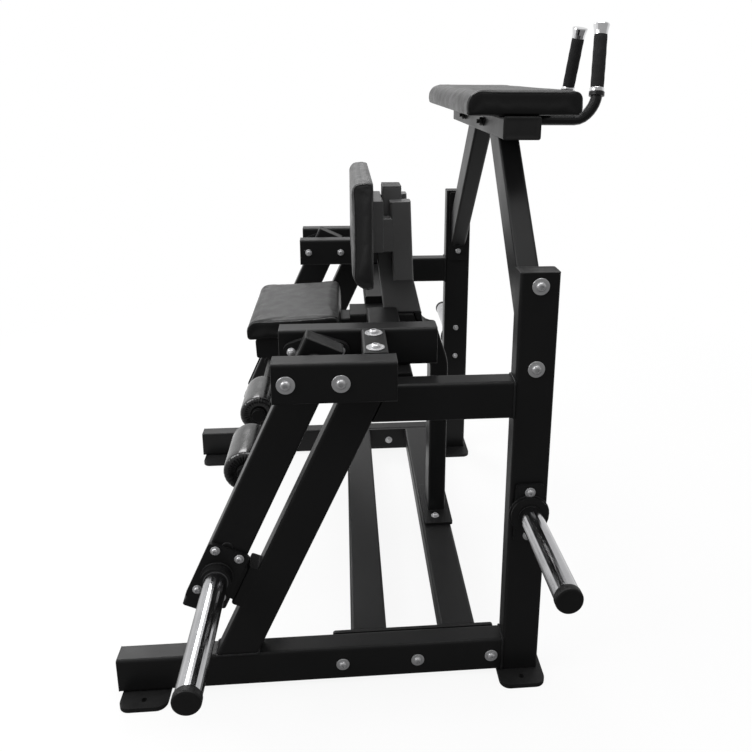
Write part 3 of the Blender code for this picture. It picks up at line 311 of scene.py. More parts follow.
# A CAD node takes the finish of the longest key that its name starts with, or else the coat
FINISHES = {
    "load_horn_cap": dark_cap, "storage_horn_cap": dark_cap, "load_horn": load_horn,
    "storage_horn": store_horn, "thigh_post": painted_light_coat, "thigh_bracket": painted_light_coat,
    "stop_bumper": rubber, "bearing": cast, "foot": cast, "handle": gloss, "grip_cap": chrome,
    "grip": foam, "roller_axle": coat, "roller": vinyl, "elbow_pad": vinyl, "knee_pad": vinyl,
    "thigh_pad": vinyl,
}
for name, obj in nodes.items():
    fits = [key for key in FINISHES if name.startswith(key)]
    finish = FINISHES[max(fits, key=len)] if fits else coat
    if not obj.material_slots:
        obj.data.materials.append(finish)
    for place in obj.material_slots:
        place.material = finish


# Mesh helpers
def add_mesh(name, bm, finish, smooth, place=None):
    """A new object from bm, smooth except at edges sharper than smooth degrees."""
    bmesh.ops.recalc_face_normals(bm, faces=bm.faces)
    mesh = bpy.data.meshes.new(name)
    bm.to_mesh(mesh)
    bm.free()
    if place is not None:
        mesh.transform(place)
    mesh.shade_smooth()
    mesh.set_sharp_from_angle(angle=math.radians(smooth))
    mesh.materials.append(finish)
    obj = bpy.data.objects.new(name, mesh)
    bpy.context.scene.collection.objects.link(obj)
    return obj


def add_piece(name, bm, finish, body, smooth=38):
    obj = add_mesh(name, bm, finish, smooth)
    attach(obj, body)
    return obj


def skin(bm, rings, closed=False):
    """Faces between rings of points, with end faces or, if closed, on from the last ring to the first."""
    count = len(rings[0])
    pairs = list(zip(rings, rings[1:])) + ([(rings[-1], rings[0])] if closed else [])
    for first, second in pairs:
        for i in range(count):
            j = (i + 1) % count
            bm.faces.new((first[i], first[j], second[j], second[i]))
    if not closed:
        bm.faces.new(rings[0])
        bm.faces.new(rings[-1])


def facing(axis):
    """A turn that brings +Z onto the axis."""
    return Z_AXIS.rotation_difference(Vector(axis).normalized()).to_matrix()


def polar(radius, angle, height=0.0):
    """The point at an angle about +Z."""
    return Vector((radius * math.cos(angle), radius * math.sin(angle), height))


def lathe(bm, profile, base, axis, steps, closed=False):
    """Turns (radius, height) pairs about an axis from base. A radius may be a function of the angle."""
    turn, base = facing(axis), Vector(base)
    rings = []
    for radius, height in profile:
        ring = []
        for step in range(steps):
            angle = 2 * math.pi * step / steps
            r = radius(angle) if callable(radius) else radius
            ring.append(bm.verts.new(base + turn @ polar(r, angle, height)))
        rings.append(ring)
    skin(bm, rings, closed)


def hexagon(across):
    return lambda angle: across / 2 / math.cos(angle % (math.pi / 3) - math.pi / 6)


def washer(radius, thick):
    c = thick * 0.22
    return [(radius - c, 0), (radius, c), (radius, thick - c), (radius - c, thick)]


def button_bolt(bm, at, axis, washer_radius, head_radius, head_height):
    """A plain washer under a button head with a hexagon socket."""
    t = 0.0024
    socket = hexagon(head_radius * 0.78)
    profile = washer(washer_radius, t)
    for radius, level in ((1.0, 0.0), (1.0, 0.22), (0.94, 0.55), (0.78, 0.86), (0.58, 1.0)):
        profile.append((head_radius * radius, t + head_height * level))
    profile += [(socket, t + head_height), (socket, t + 0.4 * head_height)]
    lathe(bm, profile, at, axis, steps=36)


def nut(bm, at, axis, washer_radius, across, thick, end):
    """A washer, a chamfered hexagon nut and the rounded end of its bolt, with a few thread lines."""
    t, pitch, bolt = 0.0020, 0.0016, across * 0.30
    flat, top = hexagon(across), t + thick
    profile = washer(washer_radius, t)
    profile += [(across * 0.47, t), (flat, t + 0.0012), (flat, top - 0.0014)]
    profile += [(across * 0.46, top), (bolt, top)]
    height = top
    while height < top + end:
        profile += [(bolt, height + 0.0004), (bolt * 0.86, height + 0.0010), (bolt, height + pitch)]
        height += pitch
    profile += [(bolt * 0.8, height + 0.0006)]
    lathe(bm, profile, at, axis, steps=24)


def tube(bm, points, radius, sides=8, closed=False, swell=None):
    """A round tube along points. swell scales the radius at each point."""
    points = [Vector(p) for p in points]
    count = len(points)
    rings = []
    for i, point in enumerate(points):
        if closed:
            ahead, behind = points[(i + 1) % count], points[i - 1]
        else:
            ahead, behind = points[min(i + 1, count - 1)], points[max(i - 1, 0)]
        direction = (ahead - behind).normalized()
        across = direction.cross(Z_AXIS if abs(direction.z) < 0.9 else X_AXIS).normalized()
        other = direction.cross(across)
        r = radius * (swell(i) if swell else 1.0)
        ring = []
        for step in range(sides):
            angle = 2 * math.pi * step / sides
            round_it = across * (r * math.cos(angle)) + other * (r * math.sin(angle))
            ring.append(bm.verts.new(point + round_it))
        rings.append(ring)
    skin(bm, rings, closed)


def weld_bead(bm, points, radius=BEAD, closed=False):
    """A painted weld bead: a tube with the small ripples of stacked puddles."""
    pitch = 0.0022
    points = [Vector(p) for p in points]
    if closed:
        points.append(points[0])
    path = []
    for first, second in zip(points, points[1:]):
        steps = max(1, round((second - first).length / pitch))
        path += [first.lerp(second, i / steps) for i in range(steps)]
    if not closed:
        path.append(points[-1])
    wobble = [radius * 0.16 * noise.noise(p * 90.0) for p in path]
    path = [p + Vector((0, 0, w)) for p, w in zip(path, wobble)]

    def ripple(i):
        thin_end = not closed and i in (0, len(path) - 1)
        return (1.0, 0.80, 0.94)[i % 3] * (0.55 if thin_end else 1.0)

    tube(bm, path, radius, 6, closed, ripple)


def outline(wide, high, radius, steps=4):
    """The corners of a rectangle with rounded corners, round its middle."""
    points = []
    for turn, (sx, sy) in enumerate(((1, 1), (-1, 1), (-1, -1), (1, -1))):
        for step in range(steps + 1):
            angle = math.pi / 2 * (turn + step / steps)
            corner = sx * (wide / 2 - radius), sy * (high / 2 - radius)
            points.append((corner[0] + radius * math.cos(angle), corner[1] + radius * math.sin(angle)))
    return points


def plug(bm, at, axis, across, wide=TUBE_WIDE, high=TUBE_THIN, proud=0.0012, radius=0.005):
    """A tube's moulded end cap: a rounded plate with a soft rim. across is the direction of wide."""
    axis, across = Vector(axis).normalized(), Vector(across).normalized()
    other = axis.cross(across)
    rings = []
    rim = ((0.0, -0.0006), (0.0, proud * 0.4), (0.0009, proud * 0.9), (0.0040, proud))
    dish = ((0.0060, proud * 0.45), (0.0110, proud * 0.40))
    for inset, level in rim + dish:
        ring = []
        for u, v in outline(wide - 2 * inset, high - 2 * inset, max(radius - inset, 0.0012)):
            ring.append(bm.verts.new(Vector(at) + across * u + other * v + axis * level))
        rings.append(ring)
    skin(bm, rings)


def on_arm(side, aside, out, down):
    """A place on a lever: aside of its tube's middle, out from its middle plane, down from its pivot."""
    pivot = Vector((PIVOT_X, side * FRAME_Y, PIVOT_Z))
    return pivot + LEAN @ Vector((aside, side * out, -down))


def cross_plate_inside(name):
    """The distance from the centre plane to the plate that bolts the cross beams on."""
    low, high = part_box(f"cross_plate_{name}")
    return min(abs(low.y), abs(high.y))


# Fasteners and head blocks
def make_fasteners():
    for name, side in SIDES:
        out, inward = (0, side, 0), (0, -side, 0)
        bm = bmesh.new()
        for x in BEARING_BOLTS_X:
            button_bolt(bm, (x, side * OUTER_HIGH.y, PIVOT_Z), out, *BEAM_BOLT)
            button_bolt(bm, (x, side * INNER_LOW.y, PIVOT_Z), inward, *INNER_BOLT)
        for z in UPRIGHT_BOLTS_Z:
            button_bolt(bm, (UPRIGHT_BOLT_X, side * UPRIGHT_HIGH.y, z), out, *BEAM_BOLT)
        for x in RAIL_BOLTS_X:
            button_bolt(bm, (x, side * RAIL_HIGH.y, RAIL_BOLT_Z), out, *RAIL_BOLT)
        for y in HEAD_BOLTS_Y:
            button_bolt(bm, (HEAD_X, side * y, HEAD_TOP), Z_AXIS, *HEAD_BOLT)
        for z in HORN_BOLTS_Z:
            button_bolt(bm, (HORN_X, side * (UPRIGHT_HIGH.y + PLATE), z), out, *HORN_BOLT)
        add_piece(f"bolts_outer_{name}", bm, zinc, "frame")
        bm = bmesh.new()
        for x in RAIL_BOLTS_X:
            nut(bm, (x, side * cross_plate_inside(name), RAIL_BOLT_Z), inward, *RAIL_NUT)
        for z in HORN_BOLTS_Z:
            nut(bm, (HORN_X, side * UPRIGHT_LOW.y, z), inward, *UPRIGHT_NUT)
        leg_bolt = (UPRIGHT_BOLT_X, side * (UPRIGHT_LOW.y - PLATE), UPRIGHT_BOLTS_Z[1])
        nut(bm, leg_bolt, inward, *UPRIGHT_NUT)
        for x in BEARING_BOLTS_X:
            nut(bm, (x, side * (OUTER_LOW.y - BEARING_DEEP), PIVOT_Z), inward, *BEARING_NUT)
            nut(bm, (x, side * (INNER_HIGH.y + BEARING_DEEP), PIVOT_Z), out, *BEARING_NUT)
        add_piece(f"nuts_{name}", bm, zinc, "frame")
        bm = bmesh.new()
        for aside in LOAD_BOLTS_ASIDE:
            for up in LOAD_BOLTS_UP:
                button_bolt(bm, on_arm(side, aside, HALF_THIN + PLATE, LOAD_DOWN - up), out, *LOAD_BOLT)
        add_piece(f"bolts_load_{name}", bm, zinc, f"arm_{name}")
    bm = bmesh.new()
    for y in BASE_BOLTS_Y:
        button_bolt(bm, (BASE_BOLT_X, y, RAIL_HIGH.z + PLATE), Z_AXIS, *BASE_BOLT)
    add_piece("bolts_base", bm, zinc, "frame")
    bm = bmesh.new()
    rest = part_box("rest_beam")[0]
    for side in (-1, 1):
        nut(bm, (rest.x, side * REST_NUT_Y, rest.z + REST_NUT_UP), -X_AXIS, *REST_NUT)
    add_piece("nuts_rest", bm, plastic, "frame")


def make_head_blocks():
    """The block over each strut, on its seat, that carries the ends of the inner and the outer beam."""
    middle_z = (SEAT_HIGH.z + HEAD_TOP) / 2
    for name, side in SIDES:
        bm = bmesh.new()
        rings = []
        for y in (HEAD_IN, HEAD_OUT):
            corners = outline(HEAD_LONG, HEAD_TOP - SEAT_HIGH.z, radius=0.006, steps=6)
            rings.append([bm.verts.new((HEAD_X + u, side * y, middle_z + v)) for u, v in corners])
        skin(bm, rings)
        add_piece(f"head_bridge_{name}", bm, coat, "frame")


make_fasteners()
make_head_blocks()


# Tube ends and welds
def around(centre, normal, across, wide, high, gap=0.0009):
    """A closed path round a tube of wide x high where it meets a face."""
    normal, across = Vector(normal).normalized(), Vector(across).normalized()
    other = normal.cross(across)
    base = Vector(centre) + normal * 0.0006
    corners = outline(wide + 2 * gap, high + 2 * gap, radius=0.006)
    return [base + across * u + other * v for u, v in corners]


def circle(centre, axis, radius, steps=28):
    turn = facing(axis)
    return [Vector(centre) + turn @ polar(radius, 2 * math.pi * i / steps) for i in range(steps)]


def make_tube_ends():
    bm = bmesh.new()
    for name, side in SIDES:
        for beam in (f"outer_beam_{name}", f"inner_beam_{name}"):
            low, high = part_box(beam)
            middle = (low + high) / 2
            plug(bm, (low.x, middle.y, middle.z), -X_AXIS, Y_AXIS, TUBE_THIN, TUBE_WIDE)
            plug(bm, (high.x, middle.y, middle.z), X_AXIS, Y_AXIS, TUBE_THIN, TUBE_WIDE)
        low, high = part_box(f"rail_{name}")
        middle = (low + high) / 2
        plug(bm, (low.x, middle.y, middle.z), -X_AXIS, Y_AXIS, TUBE_THIN, TUBE_WIDE, proud=0.0006)
        low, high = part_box(f"upright_{name}")
        middle = (low + high) / 2
        plug(bm, (middle.x, middle.y, high.z), Z_AXIS, X_AXIS)
    low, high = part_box("rest_beam")
    middle = (low + high) / 2
    for side in (-1, 1):
        plug(bm, (middle.x, side * high.y, middle.z), side * Y_AXIS, X_AXIS)
    post_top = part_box("thigh_post")[1].z
    plug(bm, (POST_PLUG_X, 0, post_top), Z_AXIS, X_AXIS, POST_PLUG_WIDE, POST_PLUG_LONG, radius=0.003)
    add_piece("tube_ends", bm, plastic, "frame")
    for name, side in SIDES:
        bm = bmesh.new()
        axis, across = LEAN @ Z_AXIS, LEAN @ X_AXIS
        plug(bm, on_arm(side, 0, 0, -ARM_TOP), axis, across)
        plug(bm, on_arm(side, 0, 0, ARM_FOOT), -axis, across)
        add_piece(f"arm_ends_{name}", bm, plastic, f"arm_{name}")


def make_welds():
    bm = bmesh.new()
    for name, side in SIDES:
        foot, strut_wide = (STRUT_X, side * FRAME_Y, RAIL_HIGH.z), TUBE_WIDE * math.hypot(1, ARM_SLOPE)
        weld_bead(bm, around(foot, Z_AXIS, X_AXIS, strut_wide, TUBE_THIN), closed=True)
        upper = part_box(f"upper_beam_{name}")
        for low, high in (upper, (RAIL_LOW, RAIL_HIGH)):
            face = (UPRIGHT_LOW.x, side * FRAME_Y, (low.z + high.z) / 2)
            weld_bead(bm, around(face, -X_AXIS, Y_AXIS, TUBE_THIN, TUBE_WIDE), closed=True)
        plate = side * cross_plate_inside(name)
        for beam in ("front", "rear"):
            low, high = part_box(f"cross_beam_{beam}")
            for edge in (low.x, high.x):
                weld_bead(bm, [(edge, plate, low.z + 0.006), (edge, plate, high.z - 0.006)])
        horn = circle((HORN_X, side * (UPRIGHT_HIGH.y + PLATE), HORN_Z), (0, side, 0), HORN_WELD)
        weld_bead(bm, horn, FINE_BEAD, closed=True)
    add_piece("welds_frame", bm, weld, "frame", 60)
    for name, side in SIDES:
        bm = bmesh.new()
        out = (0, side, 0)
        horn = circle(on_arm(side, 0, HALF_THIN + PLATE, LOAD_DOWN), out, LOAD_WELD)
        weld_bead(bm, horn, radius=0.0022, closed=True)
        axle = on_arm(side, ROLLER_ASIDE, -HALF_THIN - JOINT_LINE, ROLLER_DOWN)
        weld_bead(bm, circle(axle, (0, -side, 0), AXLE_WELD, steps=24), FINE_BEAD, closed=True)
        spot = [(0.0125, -0.0004), (0.0120, 0.0007), (0.0085, 0.0012), (0.0040, 0.0009)]
        lathe(bm, spot, on_arm(side, ROLLER_ASIDE, HALF_THIN, ROLLER_DOWN), out, steps=24)
        add_piece(f"welds_arm_{name}", bm, weld, f"arm_{name}", 60)


make_tube_ends()
make_welds()


# Upholstery
def drawn_in(radius, over):
    """How far a round of this radius has drawn in, over above the level where it starts."""
    return radius - math.sqrt(radius * radius - over * over) if over > 0 else 0.0


def pad_rings(wide, long, thick, rounds, inset):
    """Outlines of a cushion from its board to its top. rounds are the edges at -u, at +u and both ends."""
    tuck, corner = 0.004, 0.008
    largest = max(rounds)
    levels = [0.0, thick * 0.12, max(thick * 0.3, thick - largest - 0.004)]
    levels += [thick - largest + largest * math.sin(math.pi / 2 * step / 8) for step in range(9)]
    rings = []
    for height in levels:
        under = tuck * max(0.0, 1 - height / (thick * 0.3)) ** 2 + inset
        low, high, end = (under + drawn_in(r, min(r, height - thick + r)) for r in rounds)
        middle = (low - high) / 2
        corners = outline(wide - low - high, long - 2 * end, corner, steps=5)
        rings.append([(u + middle, v, height) for u, v in corners])
    return rings


def applied(obj):
    """The evaluated mesh of obj as a new mesh, with its modifiers applied."""
    graph = bpy.context.evaluated_depsgraph_get()
    return bpy.data.meshes.new_from_object(obj.evaluated_get(graph))


def swap_mesh(obj, mesh):
    old = obj.data
    obj.modifiers.clear()
    obj.data = mesh
    bpy.data.meshes.remove(old)


def inflate(obj, cap):
    """The cloth pass: pressure swells the cover, its board side stays, and cap limits every move."""
    frames = 20
    start = [v.co.copy() for v in obj.data.vertices]
    group = obj.vertex_groups.new(name="board")
    group.add([i for i, co in enumerate(start) if co.z < 0.0025], 1.0, "REPLACE")
    cloth = obj.modifiers.new("cloth", "CLOTH")
    settings = cloth.settings
    settings.quality = 5
    settings.mass = 0.3
    settings.tension_stiffness = settings.compression_stiffness = 15
    settings.shear_stiffness = 5
    settings.bending_stiffness = 0.5
    settings.use_pressure = True
    settings.uniform_pressure_force = 4.0
    settings.vertex_group_mass = "board"
    settings.effector_weights.gravity = 0
    cloth.collision_settings.use_collision = False
    cloth.point_cache.frame_start, cloth.point_cache.frame_end = 1, frames
    scene = bpy.context.scene
    for step in range(1, frames + 1):
        scene.frame_set(step)
    mesh = applied(obj)
    for vertex, old in zip(mesh.vertices, start):
        move = vertex.co - old
        if move.length > cap:
            vertex.co = old + move * (cap / move.length)
    swap_mesh(obj, mesh)
    obj.vertex_groups.clear()
    scene.frame_set(1)


def press_seams(mesh, ends, width, depth):
    """Draws the cover in along the seam of each end panel and puckers it lightly beside it."""
    count = len(mesh.vertices)
    points, normals = np.empty(count * 3), np.empty(count * 3)
    mesh.vertices.foreach_get("co", points)
    mesh.vertex_normals.foreach_get("vector", normals)
    points, normals = points.reshape(-1, 3), normals.reshape(-1, 3)
    round_it = np.hypot(normals[:, 0], normals[:, 2])
    off_seam = np.abs(points[:, 1]) - ends
    pull = np.clip(1 - (off_seam / width) ** 2, 0, 1) ** 2
    near = np.clip(1 - off_seam ** 2 / 0.03 ** 2, 0, 1)
    pucker = np.array([noise.noise((x * 80, y * 22, z * 80)) for x, y, z in points])
    soft = np.array([noise.noise((x * 14, y * 10, z * 14)) for x, y, z in points])
    move = 0.0005 * pucker * near * round_it + 0.0004 * soft - depth * pull * round_it
    points += normals * (move * (points[:, 2] > 0.003))[:, None]
    points[:, 2] = np.maximum(points[:, 2], 0.0012)
    mesh.vertices.foreach_set("co", points.ravel())
    mesh.update()


def seam_path(tree, wide, thick, reach):
    """Points along the corner between cover and end panel at v = reach, from board to board over the top."""
    steps, proud, panel = 96, 0.0005, 0.012
    side = math.copysign(1.0, reach)
    found = []
    for step in range(steps + 1):
        angle = math.pi * step / steps
        out = Vector((math.cos(angle) * wide, 0, math.sin(angle) * thick * 2))
        section = tree.ray_cast(Vector((0, reach - side * panel, 0.004)) + out, -out.normalized(), 2 * wide)
        if section[0] is None:
            continue
        outward = Vector((section[1].x, 0, section[1].z)).normalized() + Vector((0, side, 0))
        outward.normalize()
        corner = section[0] + Vector((0, side * 0.009, 0))
        hit = tree.ray_cast(corner + outward * 0.02, -outward, 0.06)
        if hit[0] is not None and (not found or (hit[0] - found[-1]).length > 0.001):
            found.append(hit[0] + outward * proud)
    return found


def pad_reach(mesh):
    """The lowest and highest v of a cover."""
    points = np.empty(len(mesh.vertices) * 3)
    mesh.vertices.foreach_get("co", points)
    return float(points[1::3].min()), float(points[1::3].max())


def make_pad(name, place, wide, long, thick, rounds, cover_finish, cap=0.003):
    """An upholstered pad. Its own frame has u across, v along Y and height off the board. place seats it."""
    slack, voxel, piping_radius = 0.0025, 0.004, 0.0020
    bm = bmesh.new()
    shape = pad_rings(wide, long, thick - slack, rounds, slack)
    skin(bm, [[bm.verts.new(point) for point in ring] for ring in shape])
    bmesh.ops.recalc_face_normals(bm, faces=bm.faces)
    mesh = bpy.data.meshes.new(name)
    bm.to_mesh(mesh)
    bm.free()
    cover = bpy.data.objects.new(f"{name}_cover", mesh)
    bpy.context.scene.collection.objects.link(cover)
    remesh = cover.modifiers.new("remesh", "REMESH")
    remesh.mode = "VOXEL"
    remesh.voxel_size = voxel
    swap_mesh(cover, applied(cover))
    inflate(cover, cap)
    smooth = cover.modifiers.new("smooth", "SMOOTH")
    smooth.factor, smooth.iterations = 0.5, 3
    subdivide = cover.modifiers.new("subdivide", "SUBSURF")
    subdivide.levels = subdivide.render_levels = 1
    swap_mesh(cover, applied(cover))
    low, high = pad_reach(cover.data)
    press_seams(cover.data, ends=high - 0.0075, width=0.0040, depth=0.0012)
    cover.data.shade_smooth()
    cover.data.materials.clear()
    cover.data.materials.append(cover_finish)
    work = bmesh.new()
    work.from_mesh(cover.data)
    tree = BVHTree.FromBMesh(work)
    work.free()
    bm = bmesh.new()
    for reach in (low, high):
        tube(bm, seam_path(tree, wide, thick, reach), piping_radius)
    # The seams' lighter colour is a painted highlight
    seams = add_mesh(f"{name}_seams", bm, painted_highlight_piping, smooth=40, place=place)
    bm = bmesh.new()
    plate = []
    for inset, height in ((0.0100, 0.0003), (0.0095, 0.0006), (0.0095, 0.0040), (0.0110, 0.0044)):
        corners = outline(wide - 2 * inset, long - 2 * inset, radius=0.022, steps=6)
        plate.append([bm.verts.new((u, v, height)) for u, v in corners])
    skin(bm, plate)
    back = add_mesh(f"{name}_board", bm, board, smooth=40, place=place)
    cover.data.transform(place)
    cover.data.update()
    for piece, slot in ((cover, "vinyl"), (seams, "vinyl"), (back, "black_cap")):
        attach(piece, "frame")
    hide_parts(name)


def make_pads():
    tilt = Matrix.Rotation(math.radians(-KNEE_TILT), 4, "Y")
    knee = Matrix.Translation(KNEE_HINGE) @ tilt @ Matrix.Translation((-KNEE_BACK, 0, 0))
    make_pad("knee_pad", knee, wide=0.234, long=0.342, thick=0.049,
             rounds=(0.024, 0.014, 0.005), cover_finish=vinyl)
    elbow = Matrix.Translation(ELBOW_SEAT)
    make_pad("elbow_pad", elbow, wide=0.252, long=0.698, thick=0.053,
             rounds=(0.030, 0.017, 0.005), cover_finish=vinyl, cap=0.002)
    upright = Matrix(((0, 0, -1), (0, 1, 0), (1, 0, 0))).to_4x4()
    thigh = Matrix.Translation(THIGH_SEAT) @ upright
    # The thigh pad's cover takes the lighter vinyl, which is painted light
    make_pad("thigh_pad", thigh, wide=0.2625, long=0.430, thick=0.050,
             rounds=(0.036, 0.016, 0.005), cover_finish=painted_light_thigh_vinyl)


make_pads()


# Rollers and grips
ROLLER_RADIUS, ROLLER_LOW, ROLLER_HIGH, ROLLER_BORE = 0.0525, 0.073, 0.244, 0.0129
SHOULDER, PLEATS, PLEAT_DEEP, ROUND_STEPS = 0.0115, 33, 0.0017, 132
HUB_SUNK = 0.0050
SEAM_RADIUS, SEAM_ANGLE, SEAM_SHORT = 0.0523, math.pi + 0.35, 0.012


def roller_profile(half):
    """(radius, height) pairs from one bore edge over the shoulders to the other."""
    end = [(ROLLER_BORE, half - 0.0050), (0.0185, half - 0.0052), (0.0200, half - 0.0042)]
    end += [(0.0250, half - 0.0026), (0.0310, half - 0.0012), (0.0370, half - 0.0004)]
    for step in range(6):
        angle = math.pi / 2 * step / 5
        over, along = SHOULDER * math.sin(angle), SHOULDER * math.cos(angle)
        end.append((ROLLER_RADIUS - SHOULDER + over, half - SHOULDER + along))
    body = [(ROLLER_RADIUS, (half - SHOULDER) * (1 - k / 4)) for k in range(1, 8)]
    return end + body + [(r, -h) for r, h in reversed(end)]


def make_roller(name, side):
    """A foam roller in gathered vinyl: pleats run over the shoulders to a plastic hub at each end."""
    centre = Vector((PIVOT_X, 0, PIVOT_Z)) + LEAN @ Vector((ROLLER_ASIDE, 0, -ROLLER_DOWN))
    half = (ROLLER_HIGH - ROLLER_LOW) / 2
    middle = ROLLER_LOW + half

    def place(radius, angle, height):
        x, z = centre.x + radius * math.sin(angle), centre.z + radius * math.cos(angle)
        return x, side * (middle + height), z

    bm = bmesh.new()
    rings = []
    for r, h in roller_profile(half):
        ring = []
        over_end = max(0.0, min(1.0, 1 - (half - abs(h)) / 0.016))
        gather = over_end * max(0.0, min(1.0, (r - 0.0185) / 0.008))
        for step in range(ROUND_STEPS):
            angle = 2 * math.pi * step / ROUND_STEPS
            fold = abs(math.sin(angle * PLEATS / 2 + 0.5 * math.sin(angle * 5))) ** 0.7
            patchy = 0.8 + 0.4 * noise.noise(Vector((angle * 3, r * 60, side)))
            deep = PLEAT_DEEP * gather * (1 - fold) * patchy
            swell = 0.0
            if r > 0.03:
                swell = 0.0004 * noise.noise(Vector((math.cos(angle) * 2, math.sin(angle) * 2, h * 22)))
            drawn = h - math.copysign(deep * 0.8, h)
            ring.append(bm.verts.new(place(r - deep * 0.6 + swell, angle, drawn)))
        rings.append(ring)
    skin(bm, rings, closed=True)
    roll = add_piece(f"roller_cover_{name}", bm, roller_vinyl, f"roller_{name}", 70)
    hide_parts(f"roller_{name}")
    bm = bmesh.new()
    hub = [(0.0131, 0.0002), (0.0200, 0.0002), (0.0203, 0.0010)]
    hub += [(0.0196, 0.0026), (0.0150, 0.0034), (0.0131, 0.0034)]
    for at, out in ((ROLLER_LOW, -1), (ROLLER_HIGH, 1)):
        base = (centre.x, side * (at - out * HUB_SUNK), centre.z)
        lathe(bm, hub, base, (0, side * out, 0), steps=36, closed=True)
    seam = [place(SEAM_RADIUS, SEAM_ANGLE, (half - SEAM_SHORT) * (k / 14 - 1)) for k in range(29)]
    tube(bm, seam, radius=0.0009, sides=6)
    add_piece(f"roller_hub_{name}", bm, plastic, f"roller_{name}")


GRIP_FOOT, GRIP_HEAD = (0.5327, 0.1169, 1.2540), (0.5428, 0.0876, 1.3831)
GRIP_RADIUS = 0.0155


def uneven(radius, height):
    """A turned radius that wanders a little round the outside of a grip."""
    def at(angle):
        return radius + 0.0002 * noise.noise(Vector((math.cos(angle) * 4, math.sin(angle) * 4, height * 160)))
    return at if radius > 0.0145 else radius


def make_grip(name, side):
    """A foam sleeve with rolled ends and a bright collar round its foot."""
    foot, head = (Vector((x, side * y, z)) for x, y, z in (GRIP_FOOT, GRIP_HEAD))
    axis, length = (head - foot).normalized(), (head - foot).length
    profile = [(0.0139, 0.0004), (0.0150, 0.0004), (GRIP_RADIUS, 0.0012)]
    for k in range(1, 16):
        barrel = 0.00035 * math.sin(math.pi * k / 16) - 0.0002 * math.sin(math.pi * k / 2)
        profile.append((GRIP_RADIUS + barrel, 0.0012 + (length - 0.0024) * k / 16))
    profile += [(GRIP_RADIUS, length - 0.0012), (0.0150, length - 0.0004), (0.0139, length - 0.0004)]
    collar = [(0.0157, 0.0002), (0.0164, 0.0002), (0.0169, 0.0008)]
    collar += [(0.0169, 0.0082), (0.0164, 0.0090), (0.0157, 0.0090)]
    bm = bmesh.new()
    lathe(bm, [(uneven(r, h), h) for r, h in profile], foot, axis, steps=40, closed=True)
    sleeve = add_piece(f"grip_sleeve_{name}", bm, foam, "frame")
    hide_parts(f"grip_{name}")
    bm = bmesh.new()
    lathe(bm, [(uneven(r, h), h) for r, h in collar], foot, axis, steps=48, closed=True)
    add_piece(f"grip_collar_{name}", bm, chrome, "frame")


for name, side in SIDES:
    make_roller(name, side)
    make_grip(name, side)


# Stage, light and camera
FLOOR_WHITE, FLOOR_UNSEEN = 0.90, 0.15
SOFTBOX, SOFTBOX_TOWARD = 9.0, (-0.23, 0.73, 0.64)
SOFTBOX_EDGE, SOFTBOX_CORE = 13, 8
FRONT_GLOSS, HIGH_GLOSS, RIGHT_GLOSS = 0.08, 0.55, 0.45
WORLD_FRONT, WORLD_BACK = 0.40, 0.75
PHOTO_SIZE, FOCAL, PHOTO_X, PHOTO_Y = 752, 747.2465, 408.03, 276.39
CAMERA_PLACE, CAMERA_TOWARD, CAMERA_ROLL = (-0.0721, -1.8944, 1.2947), (0.0861, 0.961, -0.2632), 0.0078
OBJECT_MIDDLE = (0, 0, 0.6)


def mirrored_ray(tree, rays):
    """1 for rays that leave a glossy or clear surface."""
    return maths(tree, "MAXIMUM", rays["Is Glossy Ray"], rays["Is Transmission Ray"])


def make_stage():
    """A pale floor: plain white to the camera, dim to the object, bright behind it in reflections."""
    bm = bmesh.new()
    bmesh.ops.create_grid(bm, x_segments=8, y_segments=8, size=16.0)
    mesh = bpy.data.meshes.new("floor")
    bm.to_mesh(mesh)
    bm.free()
    floor = bpy.data.objects.new("floor", mesh)
    floor.location.z = -0.0004
    bpy.context.scene.collection.objects.link(floor)
    made, tree, shader = new_material("floor_pale")
    rays = node(tree, "ShaderNodeLightPath").outputs
    pale = mixed(tree, rays["Is Camera Ray"], (FLOOR_UNSEEN,) * 3, (0.86, 0.86, 0.86))
    feed(tree, shader, Base_Color=pale)
    shader.inputs["Roughness"].default_value = 0.9
    shader.inputs["Specular IOR Level"].default_value = 0.0
    white = node(tree, "ShaderNodeEmission", Strength=1.0)
    white.inputs["Color"].default_value = (1, 1, 1, 1)
    place = object_point(tree)
    reach = node(tree, "ShaderNodeVectorMath", {0: place}, operation="LENGTH")
    plain = ramp(tree, reach.outputs["Value"], 1.1, 2.6, FLOOR_WHITE, 1.0)
    parts = node(tree, "ShaderNodeSeparateXYZ", {0: place})
    behind = ramp(tree, parts.outputs["Y"], -0.35, 0.5, FRONT_GLOSS, 0.95)
    mirrored = maths(tree, "MULTIPLY", mirrored_ray(tree, rays), behind)
    seen = maths(tree, "MULTIPLY", rays["Is Camera Ray"], plain)
    share = maths(tree, "MAXIMUM", seen, mirrored)
    both = node(tree, "ShaderNodeMixShader", {0: share, 1: shader.outputs[0], 2: white.outputs[0]})
    tree.links.new(both.outputs[0], tree.nodes["Material Output"].inputs["Surface"])
    mesh.materials.append(made)


